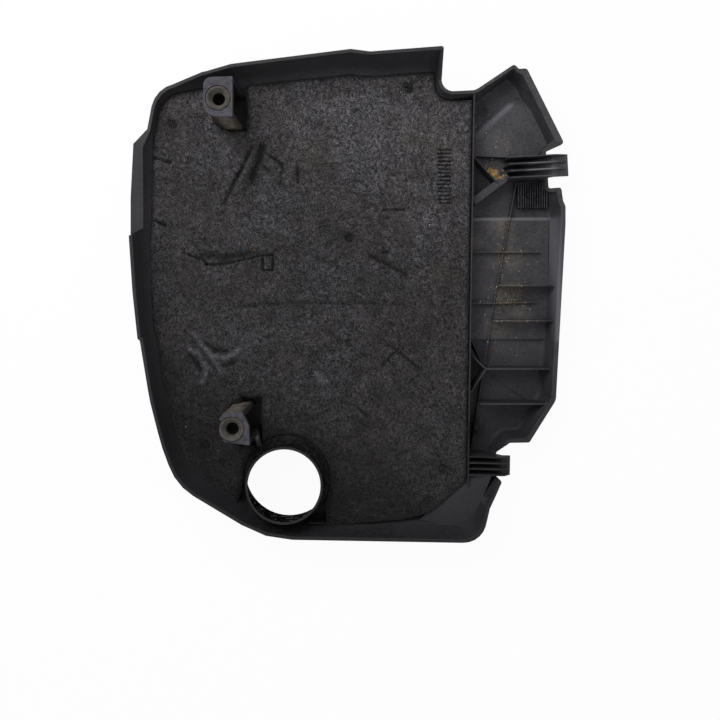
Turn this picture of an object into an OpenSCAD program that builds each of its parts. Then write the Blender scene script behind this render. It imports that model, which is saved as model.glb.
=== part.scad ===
// Engine top cover, lying on its outer face with the underside up.
// X runs to the cover's right and Y to its back edge, as seen from the underside; Z = 0 is the outer face.

/* [Overall] */
// Datum to the left edge
left_reach = 234; // [226:1:242]
// Datum to the right edge of the wing
wing_reach = 213; // [206:1:223]
// Datum to the back edge
back_reach = 235.5; // [229:0.5:243]
// Datum to the front edge
front_reach = 259; // [252:1:268]

/* [Skirt] */
// Rim height along the left edge
left_rim_h = 52; // [46:1:58]
// Rim height along the back edge
back_rim_h = 60; // [54:1:66]
// Rim height along the front edge
front_rim_h = 45; // [42:1:52]
// Rim height round the wing
wing_rim_h = 28; // [24:1:34]
// How far the skirt leans in from rim to outer face
skirt_lean = 28; // [22:1:32]
// The same lean at the broad front right corner
corner_lean = 44; // [34:1:46]
// The same lean round the wing
wing_lean = 8; // [5:1:10]
// Wall thickness of the skirt
wall_t = 2.6; // [2:0.1:3.4]
// Thickness of the outer skin
skin_t = 2.6; // [2:0.1:3.4]

/* [Rim] */
// Thickness of the rim flange
flange_t = 2.5; // [1.8:0.1:3.5]
// How far the plain rim bead stands out from the wall
bead_w = 0.8; // [0.5:0.1:1.5]
// Width of the flange on the upper left edge
left_flange_w = 13; // [8:0.5:16]
// Width of the flange on the wing
wing_flange_w = 5; // [4:0.5:7]
// Width of the flange on the fan at the wing's back end
fan_flange_w = 7; // [5:0.5:8]

/* [Divider] */
// Divider's place at the back end
divider_back_x = 118.6; // [112:0.2:124]
// Divider's place at the front end
divider_front_x = 112; // [106:0.5:118]
// Height of the divider's top edge
divider_h = 28; // [26.5:0.5:34]
// Thickness of the divider
divider_t = 1.6; // [1.2:0.1:2.4]

/* [Wing] */
// Thickness of the wing's ribs
rib_t = 1.6; // [1.2:0.1:2.4]
// Top of the tall ribs that reach the wing's wall
tall_rib_h = 24; // [18:1:24]
// Top of the low ribs and of the long seam
low_rib_h = 12; // [9.5:0.5:16]
// Rise of the raised panels
panel_rise = 4.5; // [3:0.5:6]
// Width of the slope at a raised panel's edge
panel_slope = 4; // [2:0.5:6]
// Places of the tall ribs along Y
tall_rib_y = [-0.5, -37.2, -87.5, -124];
// Places of the low ribs along Y
low_rib_y = [35, -20];
// Back and front edge of the raised panel
panel_y = [70.5, -57.5];

/* [Filler opening] */
// Centre of the opening from the left edge
filler_from_left = 158; // [148:0.5:168]
// Centre of the opening from the front edge
filler_from_front = 58; // [56:0.1:68]
// Inner radius at the collar's free edge
filler_r = 36.4; // [32:0.2:38]
// Lean of the collar wall in degrees
filler_lean = 12.5; // [8:0.5:14]
// Height of the collar
filler_h = 50; // [40:1:56]
// Wall of the collar
filler_wall = 2.4; // [1.8:0.1:3.4]

/* [Grommets] */
// Outer radius of a grommet
grommet_r = 12; // [11:0.1:13]
// Radius of the groove that the slot holds
grommet_neck_r = 9.8; // [8.5:0.1:10.2]
// Radius of the stud socket
socket_r = 6; // [5:0.1:7]
// Length of the socket's straight bore
socket_l = 12; // [8:0.5:14]
// Depth of the funnel that leads into the socket
funnel_depth = 5; // [3:0.5:7]
// Thickness of the outer flange
grommet_flange_t = 2.7; // [2:0.1:3.5]
// Thickness of the inner bead
grommet_bead_t = 5; // [3:0.5:7]

/* [Towers] */
// Height of both towers
tower_h = 72; // [66:1:82]
// Wall of the towers
tower_wall = 2.4; // [1.8:0.1:3]
// Thickness of the plate that the grommet hangs in
tower_plate_t = 6; // [5:0.5:8]
// Play between grommet and slot
slot_play = 0.4; // [0.2:0.1:0.8]
// Upper tower's grommet centre from the left edge
upper_from_left = 96.7; // [93:0.1:104]
// Upper tower's grommet centre from the back edge
upper_from_back = 54.9; // [52:0.1:63]
// Lower tower's grommet centre from the left edge
lower_from_left = 109.9; // [104:0.1:112]
// Lower tower's grommet centre from the front edge
lower_from_front = 119.4; // [117:0.1:129]

/* [Tongues] */
// Width of the back tongue
back_tongue_w = 22.6; // [18:0.2:26]
// Width of the front tongue
front_tongue_w = 20; // [16:0.5:22]
// Thickness of the tongues' ribs
tongue_rib_t = 1.4; // [1:0.1:2]
// Top of the tongues' ribs
tongue_h = 28; // [24:1:32]
// Thickness of the tongues' plate
tongue_plate_t = 2.4; // [1.8:0.1:3]

/* [Felt] */
// Height of the felt's free face
felt_top = 26; // [20:0.5:26]
// Gap between the felt and what holds it
felt_gap = 0.3; // [0.2:0.1:0.6]
// Radius of the weld dimples
dimple_r = 5; // [3.5:0.5:7]
// Depth of the weld dimples
dimple_depth = 3; // [1:0.5:5]

/* [Hidden] */
$fn = 64;

// Degrees of an outline's arc that one flat takes
ARC_STEP = 15;
// Corner radius under which a corner stays sharp, and under which one flat rounds it
SHARP_R = 1;
SMALL_R = 5;
// Narrowest share of a corner's radius that a leaning wall keeps
CORNER_KEEP = 0.3;
// Overlap that makes joined shapes one solid
BITE = 1;
// Rubber below a grommet's socket
GROMMET_FLOOR_T = 1.4;
// Width of the returns beside a tower's open side
TOWER_RETURN_W = 2.2;

// Skirt section from outer face to rim: share of the lean, share of the rim height,
// then how far the inner face lies from the outer one, along the wall's normal and along Z, in walls
SECTION = [
    [1.00, 0.00, 0.70, 1.00],
    [0.66, 0.09, 0.60, 0.70],
    [0.40, 0.31, 0.85, 0.35],
    [0.19, 0.64, 1.00, 0.10],
];
// Share of the lean just under the rim
RIM_LEAN = 0.04;

filler_x = -left_reach + filler_from_left;
filler_y = -front_reach + filler_from_front;
upper_x = -left_reach + upper_from_left;
upper_y = back_reach - upper_from_back;
lower_x = -left_reach + lower_from_left;
lower_y = -front_reach + lower_from_front;

plain = wall_t + bead_w;
left_band = left_flange_w;
wing_band = wing_flange_w;
fan_band = fan_flange_w;
// Rim height where a tongue passes over the wing's wall
tongue_sill_h = wing_rim_h - 13;

// Skirt control points, clockwise from the upper left: x, y, corner radius, rim height, lean, rim width,
// and where the wall leans another way than square to its edges, the angle that it leans towards
BACK_LEFT = [
    [-left_reach + 15.6, back_reach - 75.4, 0, left_rim_h - 18, skirt_lean - 22, plain, 340],
    [-left_reach + 24.8, back_reach - 34, 40, left_rim_h - 16, skirt_lean - 22, plain],
    [-left_reach + 77.7, back_reach - 21.9, 80, back_rim_h - 10, skirt_lean - 14, plain],
    [-left_reach + 108.4, back_reach - 16.4, 80, back_rim_h - 3, skirt_lean - 2, plain],
    [-9, back_reach - 3, 6, back_rim_h, skirt_lean, plain],
    [10, back_reach - 5.5, 8, back_rim_h, skirt_lean, plain],
    [82.5, back_reach, 2, back_rim_h, skirt_lean, plain, 262],
    [84, back_reach - 39.5, 12, (back_rim_h + 2 * wing_rim_h) / 3 - 2, wing_lean, plain, 225],
];
WING = [
    [120, back_reach - 33.5, 14, wing_rim_h + 1, wing_lean, plain],
    [160, back_reach - 6.5, 3, wing_rim_h, wing_lean, plain, 250],
    [164.6, back_reach - 11.5, 1.5, wing_rim_h, wing_lean, plain, 250],
    [173, back_reach - 11, 3, wing_rim_h, wing_lean, fan_band, 230],
    [wing_reach - 1.2, back_reach - 89, 3, wing_rim_h, wing_lean, fan_band, 180],
    [wing_reach - 16.5, back_reach - 94.5, 1.5, tongue_sill_h, wing_lean, plain, 180],
    [wing_reach - 13.7, back_reach - 133, 2, tongue_sill_h, wing_lean, plain, 180],
    [wing_reach - 4.3, back_reach - 135, 3, wing_rim_h, wing_lean, wing_band, 180],
    [wing_reach - 2.6, back_reach - 148, 3, wing_rim_h, wing_lean, wing_band, 180],
    [wing_reach, back_reach - 154, 3, wing_rim_h, wing_lean, wing_band, 180],
    [wing_reach, back_reach - 172, 60, wing_rim_h, wing_lean, wing_band, 180],
    [wing_reach - 10, -front_reach + 139.5, 12, wing_rim_h, wing_lean, wing_band],
    [wing_reach - 37.5, -front_reach + 95.7, 2.5, wing_rim_h, wing_lean, wing_band, 125],
    [wing_reach - 58.7, -front_reach + 95.4, 4, wing_rim_h, wing_lean, plain, 125],
    [wing_reach - 69, -front_reach + 82, 6, tongue_sill_h, wing_lean, plain, 180],
    [wing_reach - 73.2, -front_reach + 60.5, 1, tongue_sill_h, wing_lean, plain, 180],
    [wing_reach - 66.5, -front_reach + 57, 2, wing_rim_h + 5, wing_lean + 6, plain, 180],
];
FRONT_RIGHT = [
    [wing_reach - 80, -front_reach + 37, 30, front_rim_h - 3, corner_lean - 23, plain],
    [wing_reach - 91, -front_reach - 1.5, 28, front_rim_h, corner_lean, plain],
];
FRONT_LEFT = [
    [-20, -front_reach + 1.3, 60, front_rim_h, skirt_lean - 10, plain],
    [-left_reach + 138, -front_reach + 2.3, 100, front_rim_h, skirt_lean - 16, plain],
    [-left_reach + 48.3, -front_reach + 58, 60, front_rim_h + 2, skirt_lean + 4, plain],
    [-left_reach + 33, -front_reach + 102.5, 150, front_rim_h + 3, skirt_lean - 8, plain],
    [-left_reach + 22.8, -front_reach + 147, 150, front_rim_h + 5, skirt_lean - 12, plain],
    [-left_reach + 14.3, -front_reach + 203.4, 0, left_rim_h, skirt_lean - 12, plain, 0],
    [-left_reach + 12, -front_reach + 205.4, 0, left_rim_h, skirt_lean - 12, plain, 0],
    [-left_reach + 7, -front_reach + 252, 60, left_rim_h, skirt_lean - 8, plain, 0],
    [-left_reach + 3.3, back_reach - 186.5, 0, left_rim_h, skirt_lean, plain, 0],
    [-left_reach, back_reach - 184.5, 0, left_rim_h - 14, skirt_lean - 8, left_band, 0],
    [-left_reach, back_reach - 146, 60, left_rim_h - 14, skirt_lean - 8, left_band, 0],
    [-left_reach + 3.5, back_reach - 92, 0, left_rim_h - 12, skirt_lean - 6, left_band - 3, 0],
];
SKIRT = concat(BACK_LEFT, WING, FRONT_RIGHT, FRONT_LEFT);

function unit(v) = v / norm(v);
function flat2(p) = [p.x, p.y];
function polar(angle) = [cos(angle), sin(angle)];
function around(list, i) = list[(i + len(list)) % len(list)];
// Normal that points into a clockwise outline from its edge a to b
function inward(a, b) = let(d = unit(b - a)) [d.y, -d.x];

// Shift of each control point that moves both its edges inwards by one
function mitres(rows) = [
    for (i = [0:len(rows) - 1])
        let(
            n1 = inward(flat2(around(rows, i - 1)), flat2(rows[i])),
            n2 = inward(flat2(rows[i]), flat2(around(rows, i + 1)))
        )
        (n1 + n2) / (1 + n1 * n2)
];

// Signed turn at each control point, positive where a clockwise outline bulges
function turns(rows) = [
    for (i = [0:len(rows) - 1])
        let(
            d1 = unit(flat2(rows[i]) - flat2(around(rows, i - 1))),
            d2 = unit(flat2(around(rows, i + 1)) - flat2(rows[i]))
        )
        atan2(d1.y * d2.x - d1.x * d2.y, d1 * d2)
];

// Points of the arc that rounds corner p between its neighbours a and b, in a fixed number of flats
function corner_arc(a, p, b, r, flats) =
    let(
        to_a = unit(a - p),
        to_b = unit(b - p),
        half = acos(max(-1, min(1, to_a * to_b))) / 2,
        room = 0.45 * min(norm(a - p), norm(b - p)),
        tangent = min(r / tan(half), room),
        radius = tangent * tan(half),
        centre = p + unit(to_a + to_b) * (tangent / cos(half)),
        start = atan2((p + to_a * tangent - centre).y, (p + to_a * tangent - centre).x),
        stop = atan2((p + to_b * tangent - centre).y, (p + to_b * tangent - centre).x),
        sweep = (stop - start + 540) % 360 - 180
    )
    flats == 0 ? [p] : [for (k = [0:flats]) centre + radius * polar(start + sweep * k / flats)];

// Number of flats at each corner, the same on every ring of one loft
function corner_flats(rows) =
    let(t = turns(rows))
    [
        for (i = [0:len(rows) - 1])
            rows[i][2] < SHARP_R || abs(t[i]) < 1 ? 0 :
            rows[i][2] < SMALL_R ? 1 + round(abs(t[i]) / 90) :
            max(1, round(abs(t[i]) / ARC_STEP))
    ];

// One ring: the outline shifted by a lean and by an offset square to its edges, then rounded
function ring(rows, leans, offsets) =
    let(
        m = mitres(rows),
        t = turns(rows),
        flats = corner_flats(rows),
        moved = [
            for (i = [0:len(rows) - 1])
                let(way = rows[i][6] == undef ? m[i] : polar(rows[i][6]))
                flat2(rows[i]) + way * leans[i] + m[i] * offsets[i]
        ]
    )
    [
        for (i = [0:len(rows) - 1])
            let(
                inset = leans[i] + offsets[i],
                r = max(rows[i][2] * CORNER_KEEP, rows[i][2] - sign(t[i]) * inset)
            )
            for (p = corner_arc(around(moved, i - 1), moved[i], around(moved, i + 1), r, flats[i]))
                [p.x, p.y, i]
    ];

// A ring's points with the height of the control point that each belongs to
function lifted(points, heights) = [for (p = points) [p.x, p.y, heights[p.z]]];
function plan(points) = [for (p = points) flat2(p)];
function zeros(rows) = [for (row = rows) 0];

// Rounded outline of a plan whose rows are x, y, corner radius, shifted inwards by an offset
function outline(rows, offset = 0) = plan(ring(rows, zeros(rows), [for (row = rows) offset]));

// Triangles of a closed loop of rings, each joined to the next and the last to the first
function loop_faces(count, rings) = [
    for (k = [0:rings - 1], i = [0:count - 1])
        let(
            j = (i + 1) % count,
            a = k * count,
            b = ((k + 1) % rings) * count
        )
        each [[a + i, b + j, b + i], [a + i, a + j, b + j]]
];

// Triangles of a stack of rings, with both ends closed from a point in the middle of each
function stack_faces(count, rings) = concat(
    [
        for (k = [0:rings - 2], i = [0:count - 1])
            let(j = (i + 1) % count, a = k * count, b = (k + 1) * count)
            each [[a + i, b + j, b + i], [a + i, a + j, b + j]]
    ],
    [for (i = [0:count - 1]) [rings * count, (i + 1) % count, i]],
    [for (i = [0:count - 1]) let(a = (rings - 1) * count) [rings * count + 1, a + i, a + (i + 1) % count]]
);

skirt_leans = [for (row = SKIRT) row[4]];
// How far the wall's outer face lies inside the rim, and its inner face
skirt_outer = [for (row = SKIRT) row[5] - wall_t];
skirt_inner = [for (row = SKIRT) row[5]];

function skirt_outer_ring(s) = lifted(
    ring(SKIRT, skirt_leans * s[0], skirt_outer),
    [for (row = SKIRT) row[3] * s[1]]
);
function skirt_inner_ring(s) = lifted(
    ring(SKIRT, skirt_leans * s[0], [for (w = skirt_outer) w + wall_t * s[2]]),
    [for (row = SKIRT) s[1] == 0 ? skin_t : row[3] * s[1] + wall_t * s[3]]
);

// Outer face of the skirt, over the rim, and down its inner face: one closed section all round
module skirt() {
    rim = [for (row = SKIRT) row[3]];
    under_rim = [for (row = SKIRT) row[3] - flange_t];
    rings = concat(
        [for (s = SECTION) skirt_outer_ring(s)],
        [
            lifted(ring(SKIRT, skirt_leans * RIM_LEAN, skirt_outer), under_rim),
            lifted(ring(SKIRT, zeros(SKIRT), zeros(SKIRT)), under_rim),
            lifted(ring(SKIRT, zeros(SKIRT), zeros(SKIRT)), rim),
            lifted(ring(SKIRT, zeros(SKIRT), skirt_inner), rim),
        ],
        [for (k = [len(SECTION) - 1:-1:0]) skirt_inner_ring(SECTION[k])]
    );
    polyhedron(
        points = [for (one = rings) each one],
        faces = loop_faces(len(rings[0]), len(rings))
    );
}

// Flat skin inside the skirt's foot
module skin() {
    linear_extrude(skin_t) polygon(plan(ring(SKIRT, skirt_leans, skirt_outer)));
}

// Upright rib between two places, from the skin to a height
module rib(a, b, top, t = rib_t, base = skin_t - BITE) {
    translate([a.x, a.y, base])
        rotate([0, 0, atan2(b.y - a.y, b.x - a.x)])
        translate([0, -t / 2, 0]) cube([norm(b - a), t, top - base]);
}

// Raised part of the skin: a level top over a wider foot, so its free edges slope
module raised_skin(foot, top, rise) {
    translate([0, 0, skin_t - BITE])
        hull() {
            linear_extrude(BITE) polygon(foot);
            linear_extrude(rise + BITE) polygon(top);
        }
}

divider_back = [divider_back_x, back_reach - 36];
divider_front = [divider_front_x, -front_reach + 50];
function divider_x(y) =
    divider_back.x + (y - divider_back.y) * (divider_front.x - divider_back.x) / (divider_front.y - divider_back.y);

// Long shallow seam that crosses the wing from the back tongue to the front one
seam = [[wing_reach - 46.3, 109.4], [wing_reach - 69.2, -10.4], [divider_front_x + 5.7, -177]];
function seam_x(y) =
    y > seam[1].y
        ? seam[1].x + (y - seam[1].y) * (seam[0].x - seam[1].x) / (seam[0].y - seam[1].y)
        : seam[2].x + (y - seam[2].y) * (seam[1].x - seam[2].x) / (seam[1].y - seam[2].y);

// Place of the wing's outer wall, which runs a little inwards to the front and turns off at the corner
function wing_wall_x(y) =
    let(
        side = wing_reach - wing_flange_w + wall_t / 2,
        corner_y = -front_reach + 139.5
    )
    y > corner_y
        ? side + (y - back_reach + 172) * 10 / 183
        : side - 11.5 + (y - corner_y) * 27.5 / 43.8;

// Tall rib along X that ends inside the wing's leaning wall
module wall_rib(start_x, y) {
    foot = skin_t - BITE;
    end_x = wing_wall_x(y);
    translate([0, y + rib_t / 2, 0])
        rotate([90, 0, 0])
        linear_extrude(rib_t)
        polygon(concat(
            [[start_x, tall_rib_h], [start_x, foot]],
            [
                for (z = [foot, 0.31 * wing_rim_h, tall_rib_h])
                    [end_x - wing_lean * lookup(z / wing_rim_h, LEAN_AT), z]
            ]
        ));
}

low_rib_end = [wing_reach - 21, wing_reach - 28];

module divider() {
    rib(divider_back, divider_front, divider_h, divider_t);
}

module wing_ribs() {
    for (y = tall_rib_y)
        wall_rib(seam_x(y), y);
    for (k = [0, 1])
        rib([divider_x(low_rib_y[k]), low_rib_y[k]], [low_rib_end[k], low_rib_y[k] + 2 * k], low_rib_h);
    for (k = [0, 1])
        rib(seam[k], seam[k + 1], low_rib_h - 2, rib_t * 0.75);
}

// Arrow-shaped gusset between the divider and the seam, and the crease that leaves it
module wing_gussets() {
    tip = [seam_x(-88), -88];
    rib([divider_x(-71), -71], tip, tall_rib_h - 2);
    rib([divider_x(-116), -116], tip, tall_rib_h - 2);
    rib([seam_x(-94) + 6, -94], [wing_wall_x(-123) - 18, -123], skin_t + 1);
    corner = [wing_reach - 79.8, tall_rib_y[2]];
    translate([0, 0, skin_t - BITE])
        linear_extrude(tall_rib_h - 2)
        polygon([corner, corner + [0, 6], corner + [6, 0]]);
}

// Raised panel in the middle of the wing, sloped at its back and front edge
module wing_panel() {
    left = divider_x(0);
    right = wing_reach - 12;
    back = panel_y[0];
    front = panel_y[1];
    raised_skin(
        [
            [left, front - panel_slope / 2], [left, back + panel_slope],
            [right, back + panel_slope], [right, front - panel_slope / 2]
        ],
        [[left, front], [left, back], [right, back], [right, front]],
        panel_rise
    );
}

// Raised floor of the fan, with a broad slope towards the back left; it runs into the fan's right wall
module fan_panel() {
    left = divider_back_x + 1;
    peak = [wing_reach - 49, back_reach - 43];
    wall_a = flat2(WING[3]);
    wall_b = flat2(WING[4]);
    in_wall = inward(wall_a, wall_b);
    front = [[wing_reach - 27, back_reach - 101], [left, back_reach - 98.5]];
    run = panel_slope * 2;
    raised_skin(
        concat(
            [[left, back_reach - 83 + run * 1.4], peak + [0, run * 1.2], peak + [10, run]],
            [for (t = [0.42, 0.9]) wall_a + (wall_b - wall_a) * t + in_wall * (fan_flange_w + 6)],
            front
        ),
        concat(
            [[left, back_reach - 83], peak, peak + [8, -3]],
            [for (t = [0.45, 0.9]) wall_a + (wall_b - wall_a) * t + in_wall * (fan_flange_w + 1.8)],
            front
        ),
        panel_rise * 1.6
    );
}

// Thin rib and broad strut that brace the divider beside the back tongue
module fan_braces() {
    strut_start = [divider_x(86) + 2.4, 87.6];
    strut_end = [wing_reach - 57, 115];
    rib([divider_x(136.5), 136.5], strut_end + [-12.6, -6.7], tall_rib_h - 3);
    rib(strut_start, strut_end, tall_rib_h - 6, 8);
}

// Pad of fine upright grooves below the back tongue
module grooved_pad() {
    pitch = 2.5;
    left = wing_reach - 44;
    right = wing_reach - 12.5;
    for (x = [left:pitch:right])
        rib([x, 82], [x, 109.5], low_rib_h - 2, pitch / 2);
}

// Tongue with ribs along its length: local X points outwards, local Y is centred on the width.
// The plate runs flat on the skin, climbs a ramp and ends in a level tab.
module tongue(place, heading, width, ribs, channel, ramp, tab, tip) {
    tab_z = tongue_h - 2 * tongue_plate_t;
    length = channel + ramp + tab;
    foot = skin_t - BITE;
    translate([place.x, place.y, 0])
        rotate([0, 0, heading]) {
            translate([0, width / 2, 0])
                rotate([90, 0, 0])
                linear_extrude(width)
                polygon([
                    [0, foot], [channel + tongue_plate_t, foot], [channel + ramp, tab_z - tongue_plate_t],
                    [length, tab_z - tongue_plate_t], [length, tab_z], [channel + ramp - BITE, tab_z],
                    [channel, foot + BITE + 1], [0, foot + BITE + 1]
                ]);
            for (k = [0:ribs - 1])
                translate([0, -width / 2 + k * (width - tongue_rib_t) / (ribs - 1) + tongue_rib_t, 0])
                    rotate([90, 0, 0])
                    linear_extrude(tongue_rib_t)
                    polygon([
                        [-tip, foot], [channel, foot], [channel + ramp - BITE, tab_z - BITE],
                        [length - 2, tab_z - BITE], [length - 2, tab_z + 0.8], [channel + ramp + BITE, tongue_h],
                        [0, tongue_h], [-tip, tongue_h - 3]
                    ]);
        }
}

module tongues() {
    tongue([wing_reach - 57, back_reach - 113.5], 3, back_tongue_w, 4, 26, 20, 15, 2);
    tongue([divider_front_x + 0.5, -front_reach + 71.5], -1, front_tongue_w, 4, 14, 22, 8, 0);
}

filler_flare = filler_r + filler_h * tan(filler_lean);
// Radius of the collar's inner face at a height
function filler_inner(z) = filler_r + (filler_h - z) * tan(filler_lean);

module filler_collar() {
    translate([filler_x, filler_y, 0])
        cylinder(h = filler_h, r1 = filler_flare + filler_wall, r2 = filler_r + filler_wall);
}

module filler_bore() {
    translate([filler_x, filler_y, -BITE])
        cylinder(h = filler_h + 2 * BITE, r1 = filler_inner(-BITE), r2 = filler_inner(filler_h + BITE));
}

// Plans of the towers, clockwise: x, y and corner radius from the grommet's centre
UPPER_PLAN = [[14.3, 21, 1], [14.3, -18.1, 1], [-14.1, -18.1, 15], [-14.1, 20, 8]];
LOWER_PLAN = [
    [10.1, 17.1, 1], [17, 3.6, 3], [17.5, -15.2, 0.5], [-7.1, -11.8, 3], [-12.5, -3.1, 4],
    [-12.5, 8.4, 4], [-8.3, 15.7, 2]
];

// Tower as a hollow box: its right side is open, and a stepped slot from the left holds the grommet
module tower(centre, rows) {
    hollow_top = tower_h - tower_plate_t;
    seat = tower_h - grommet_flange_t - 0.3;
    right = max([for (row = rows) row.x]);
    ys = [for (row = rows) if (row.x > right - 8) row.y];
    low = min(ys) + tower_wall + TOWER_RETURN_W;
    high = max(ys) - tower_wall - TOWER_RETURN_W;
    neck = grommet_neck_r + slot_play / 2;
    head = grommet_r + slot_play;
    reach = 30;
    // Height of the room that the grommet's foot slides into
    room_z = tower_h - funnel_depth - socket_l - GROMMET_FLOOR_T - 0.6;
    room_h = hollow_top - room_z;
    translate([centre.x, centre.y, 0])
        difference() {
            translate([0, 0, skin_t - BITE])
                linear_extrude(tower_h - skin_t + BITE) polygon(outline(rows));
            translate([0, 0, skin_t])
                linear_extrude(hollow_top - skin_t) polygon(outline(rows, tower_wall));
            translate([0, low, skin_t])
                cube([reach, high - low, hollow_top - skin_t]);
            translate([0, 0, hollow_top - BITE])
                cylinder(r = neck, h = tower_plate_t + 2 * BITE);
            translate([-reach, -neck * 0.9, hollow_top - BITE])
                cube([reach, neck * 1.8, tower_plate_t + 2 * BITE]);
            translate([0, 0, seat])
                cylinder(r = head, h = tower_plate_t);
            translate([0, 0, room_z])
                cylinder(r = head, h = room_h);
            translate([-reach, -head * 0.7, room_z])
                cube([reach, head * 1.4, room_h]);
        }
}

// Low web that ties the lower tower to the filler collar
module tower_web() {
    rib([lower_x + 16, lower_y - 12], [filler_x - 28, filler_y + 34], divider_h, tower_wall * 2);
}

module cover_shell() {
    color("#2d2b2b") {
        difference() {
            union() {
                skirt();
                skin();
                filler_collar();
                tower_web();
            }
            filler_bore();
        }
        divider();
        wing_panel();
        fan_panel();
        wing_ribs();
        wing_gussets();
        fan_braces();
        grooved_pad();
        tongues();
        corner_shelf();
        front_web();
        intersection() {
            tower([upper_x, upper_y], UPPER_PLAN);
            inside_skirt();
        }
        tower([lower_x, lower_y], LOWER_PLAN);
    }
}

// Felt outline: it follows the skirt, then the notch, the divider and the front right edge
FELT = concat(
    BACK_LEFT,
    [
        [divider_back_x - divider_t / 2 - 0.4, back_reach - 42, 2, wing_rim_h, wing_lean, 0, 235],
        [divider_front_x - divider_t / 2 - 0.4, -front_reach + 50, 4, front_rim_h, 14, 0, 90],
        [divider_front_x - 31, -front_reach + 11.2, 30, front_rim_h, corner_lean - 10, plain],
        [divider_front_x - 66, -front_reach + 2.4, 20, front_rim_h, corner_lean - 12, plain],
    ],
    FRONT_LEFT
);
// Share of the skirt's lean at a share of its height
LEAN_AT = concat([for (s = SECTION) [s[1], s[0]]], [[1, 0]]);

// Leans along the felt's outline at a height, for a face that lies a depth inside the skirt's outer one
function felt_leans(z, depth) = [for (row = FELT) row[4] * lookup(max(0, z - depth) / row[3], LEAN_AT)];

// Solid on the felt's side of the skirt and of the divider, through the given levels
module felt_side(levels, depth, gap) {
    offsets = [for (row = FELT) row[5] - wall_t + depth + gap];
    rings = [for (z = levels) [for (p = ring(FELT, felt_leans(z, depth), offsets)) [p.x, p.y, z]]];
    middle = [-50, 0];
    polyhedron(
        points = concat(
            [for (one = rings) each one],
            [[middle.x, middle.y, levels[0]], [middle.x, middle.y, levels[len(levels) - 1]]]
        ),
        faces = stack_faces(len(rings[0]), len(rings))
    );
}

module felt_blank() {
    felt_side([skin_t + felt_gap, 5, 8, 13, 19, felt_top], wall_t, felt_gap);
}

// Everything inside the middle of the skirt's wall, where the upper tower's foot ends
module inside_skirt() {
    felt_side([0, 5, 18, 38, back_rim_h, tower_h + BITE], wall_t / 2, 0);
}

// Broad shelf at the front right: it slopes down from the skirt's wall to the felt's edge
module corner_shelf() {
    kink = SECTION[3];
    top_z = front_rim_h * kink[1];
    felt_z = felt_top - 4;
    corner_row = len(BACK_LEFT) + len(WING) + 1;
    in_wall = ring(SKIRT, skirt_leans * kink[0], [for (w = skirt_outer) w + wall_t * 0.6]);
    arc = [for (p = in_wall) if (p.z == corner_row) flat2(p)];
    side = flat2(FRONT_RIGHT[0]) + [-6.6, 2.4];
    tongue_side = [wing_reach - 77, -front_reach + 61];
    felt_line = [
        [divider_front_x + 0.4, -front_reach + 61], [divider_front_x + 0.4, -front_reach + 51],
        [divider_front_x - 50, -front_reach + 13.5]
    ];
    difference() {
        hull() {
            translate([0, 0, top_z - wall_t]) linear_extrude(wall_t) polygon(concat(arc, [side, tongue_side]));
            translate([0, 0, felt_z - wall_t]) linear_extrude(wall_t) polygon(felt_line);
        }
        felt_side([0, 7, 13, 19, felt_top + BITE], wall_t, 0);
    }
}

// Short web beside the filler opening that ends at the felt
module front_web() {
    y = -front_reach + 12;
    rib([filler_x + 22, y], [filler_x + 39.5, y - 0.8], felt_top, rib_t * 0.75);
}

// Places where the felt is welded to the shell
DIMPLES = [[-195, 167], [51, 205], [-11.5, 49], [-160, -165.5], [86, -191]];

// Clear room round a tower's plan, with the open pocket beside it
module tower_room(centre, rows, pocket) {
    translate([centre.x, centre.y, -BITE])
        linear_extrude(felt_top + 2 * BITE) {
            polygon(outline(rows, -felt_gap - 0.5));
            translate([0, pocket[0]]) square([pocket[2], pocket[1] - pocket[0]]);
        }
}

module filler_room() {
    left_top = [filler_x - 43.5, filler_y + 6.5];
    bottom = -front_reach - BITE;
    translate([filler_x, filler_y, -BITE])
        cylinder(h = felt_top + 2 * BITE, r1 = filler_flare + filler_wall + 1, r2 = filler_inner(felt_top) + filler_wall + 1);
    translate([0, 0, -BITE])
        linear_extrude(felt_top + 2 * BITE)
        polygon([
            left_top, [filler_x + 41, filler_y + 6.5], [filler_x + 41, bottom],
            [filler_x - 58, bottom], [filler_x - 51.8, filler_y - 25.7]
        ]);
}

module acoustic_felt() {
    color("#302f30")
        difference() {
            felt_blank();
            tower_room([upper_x, upper_y], UPPER_PLAN, [-20.5, 27, 20]);
            tower_room([lower_x, lower_y], LOWER_PLAN, [-29, 23.3, 22.3]);
            filler_room();
            for (place = DIMPLES)
                translate([place.x, place.y, felt_top - dimple_depth])
                    cylinder(r = dimple_r, h = dimple_depth + BITE);
        }
}

// Stud grommet with its free face at the top of the tower
module grommet(centre) {
    mouth = -funnel_depth;
    floor_z = mouth - socket_l;
    bead_top = -tower_plate_t - 0.2;
    bead_low = bead_top - grommet_bead_t;
    foot_z = floor_z - GROMMET_FLOOR_T;
    color("#6a655d")
        translate([centre.x, centre.y, tower_h])
        rotate_extrude()
        polygon([
            [0, floor_z], [socket_r, floor_z], [socket_r, mouth], [grommet_r - 2.2, -0.4],
            [grommet_r - 1.2, 0], [grommet_r, -0.8], [grommet_r, -grommet_flange_t],
            [grommet_neck_r, -grommet_flange_t], [grommet_neck_r, bead_top], [grommet_r, bead_top],
            [grommet_r, bead_low + 1.5], [grommet_r - 2.5, foot_z], [0, foot_z]
        ]);
}

module grommet_upper() {
    grommet([upper_x, upper_y]);
}

module grommet_lower() {
    grommet([lower_x, lower_y]);
}

cover_shell();
acoustic_felt();
grommet_upper();
grommet_lower();
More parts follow.
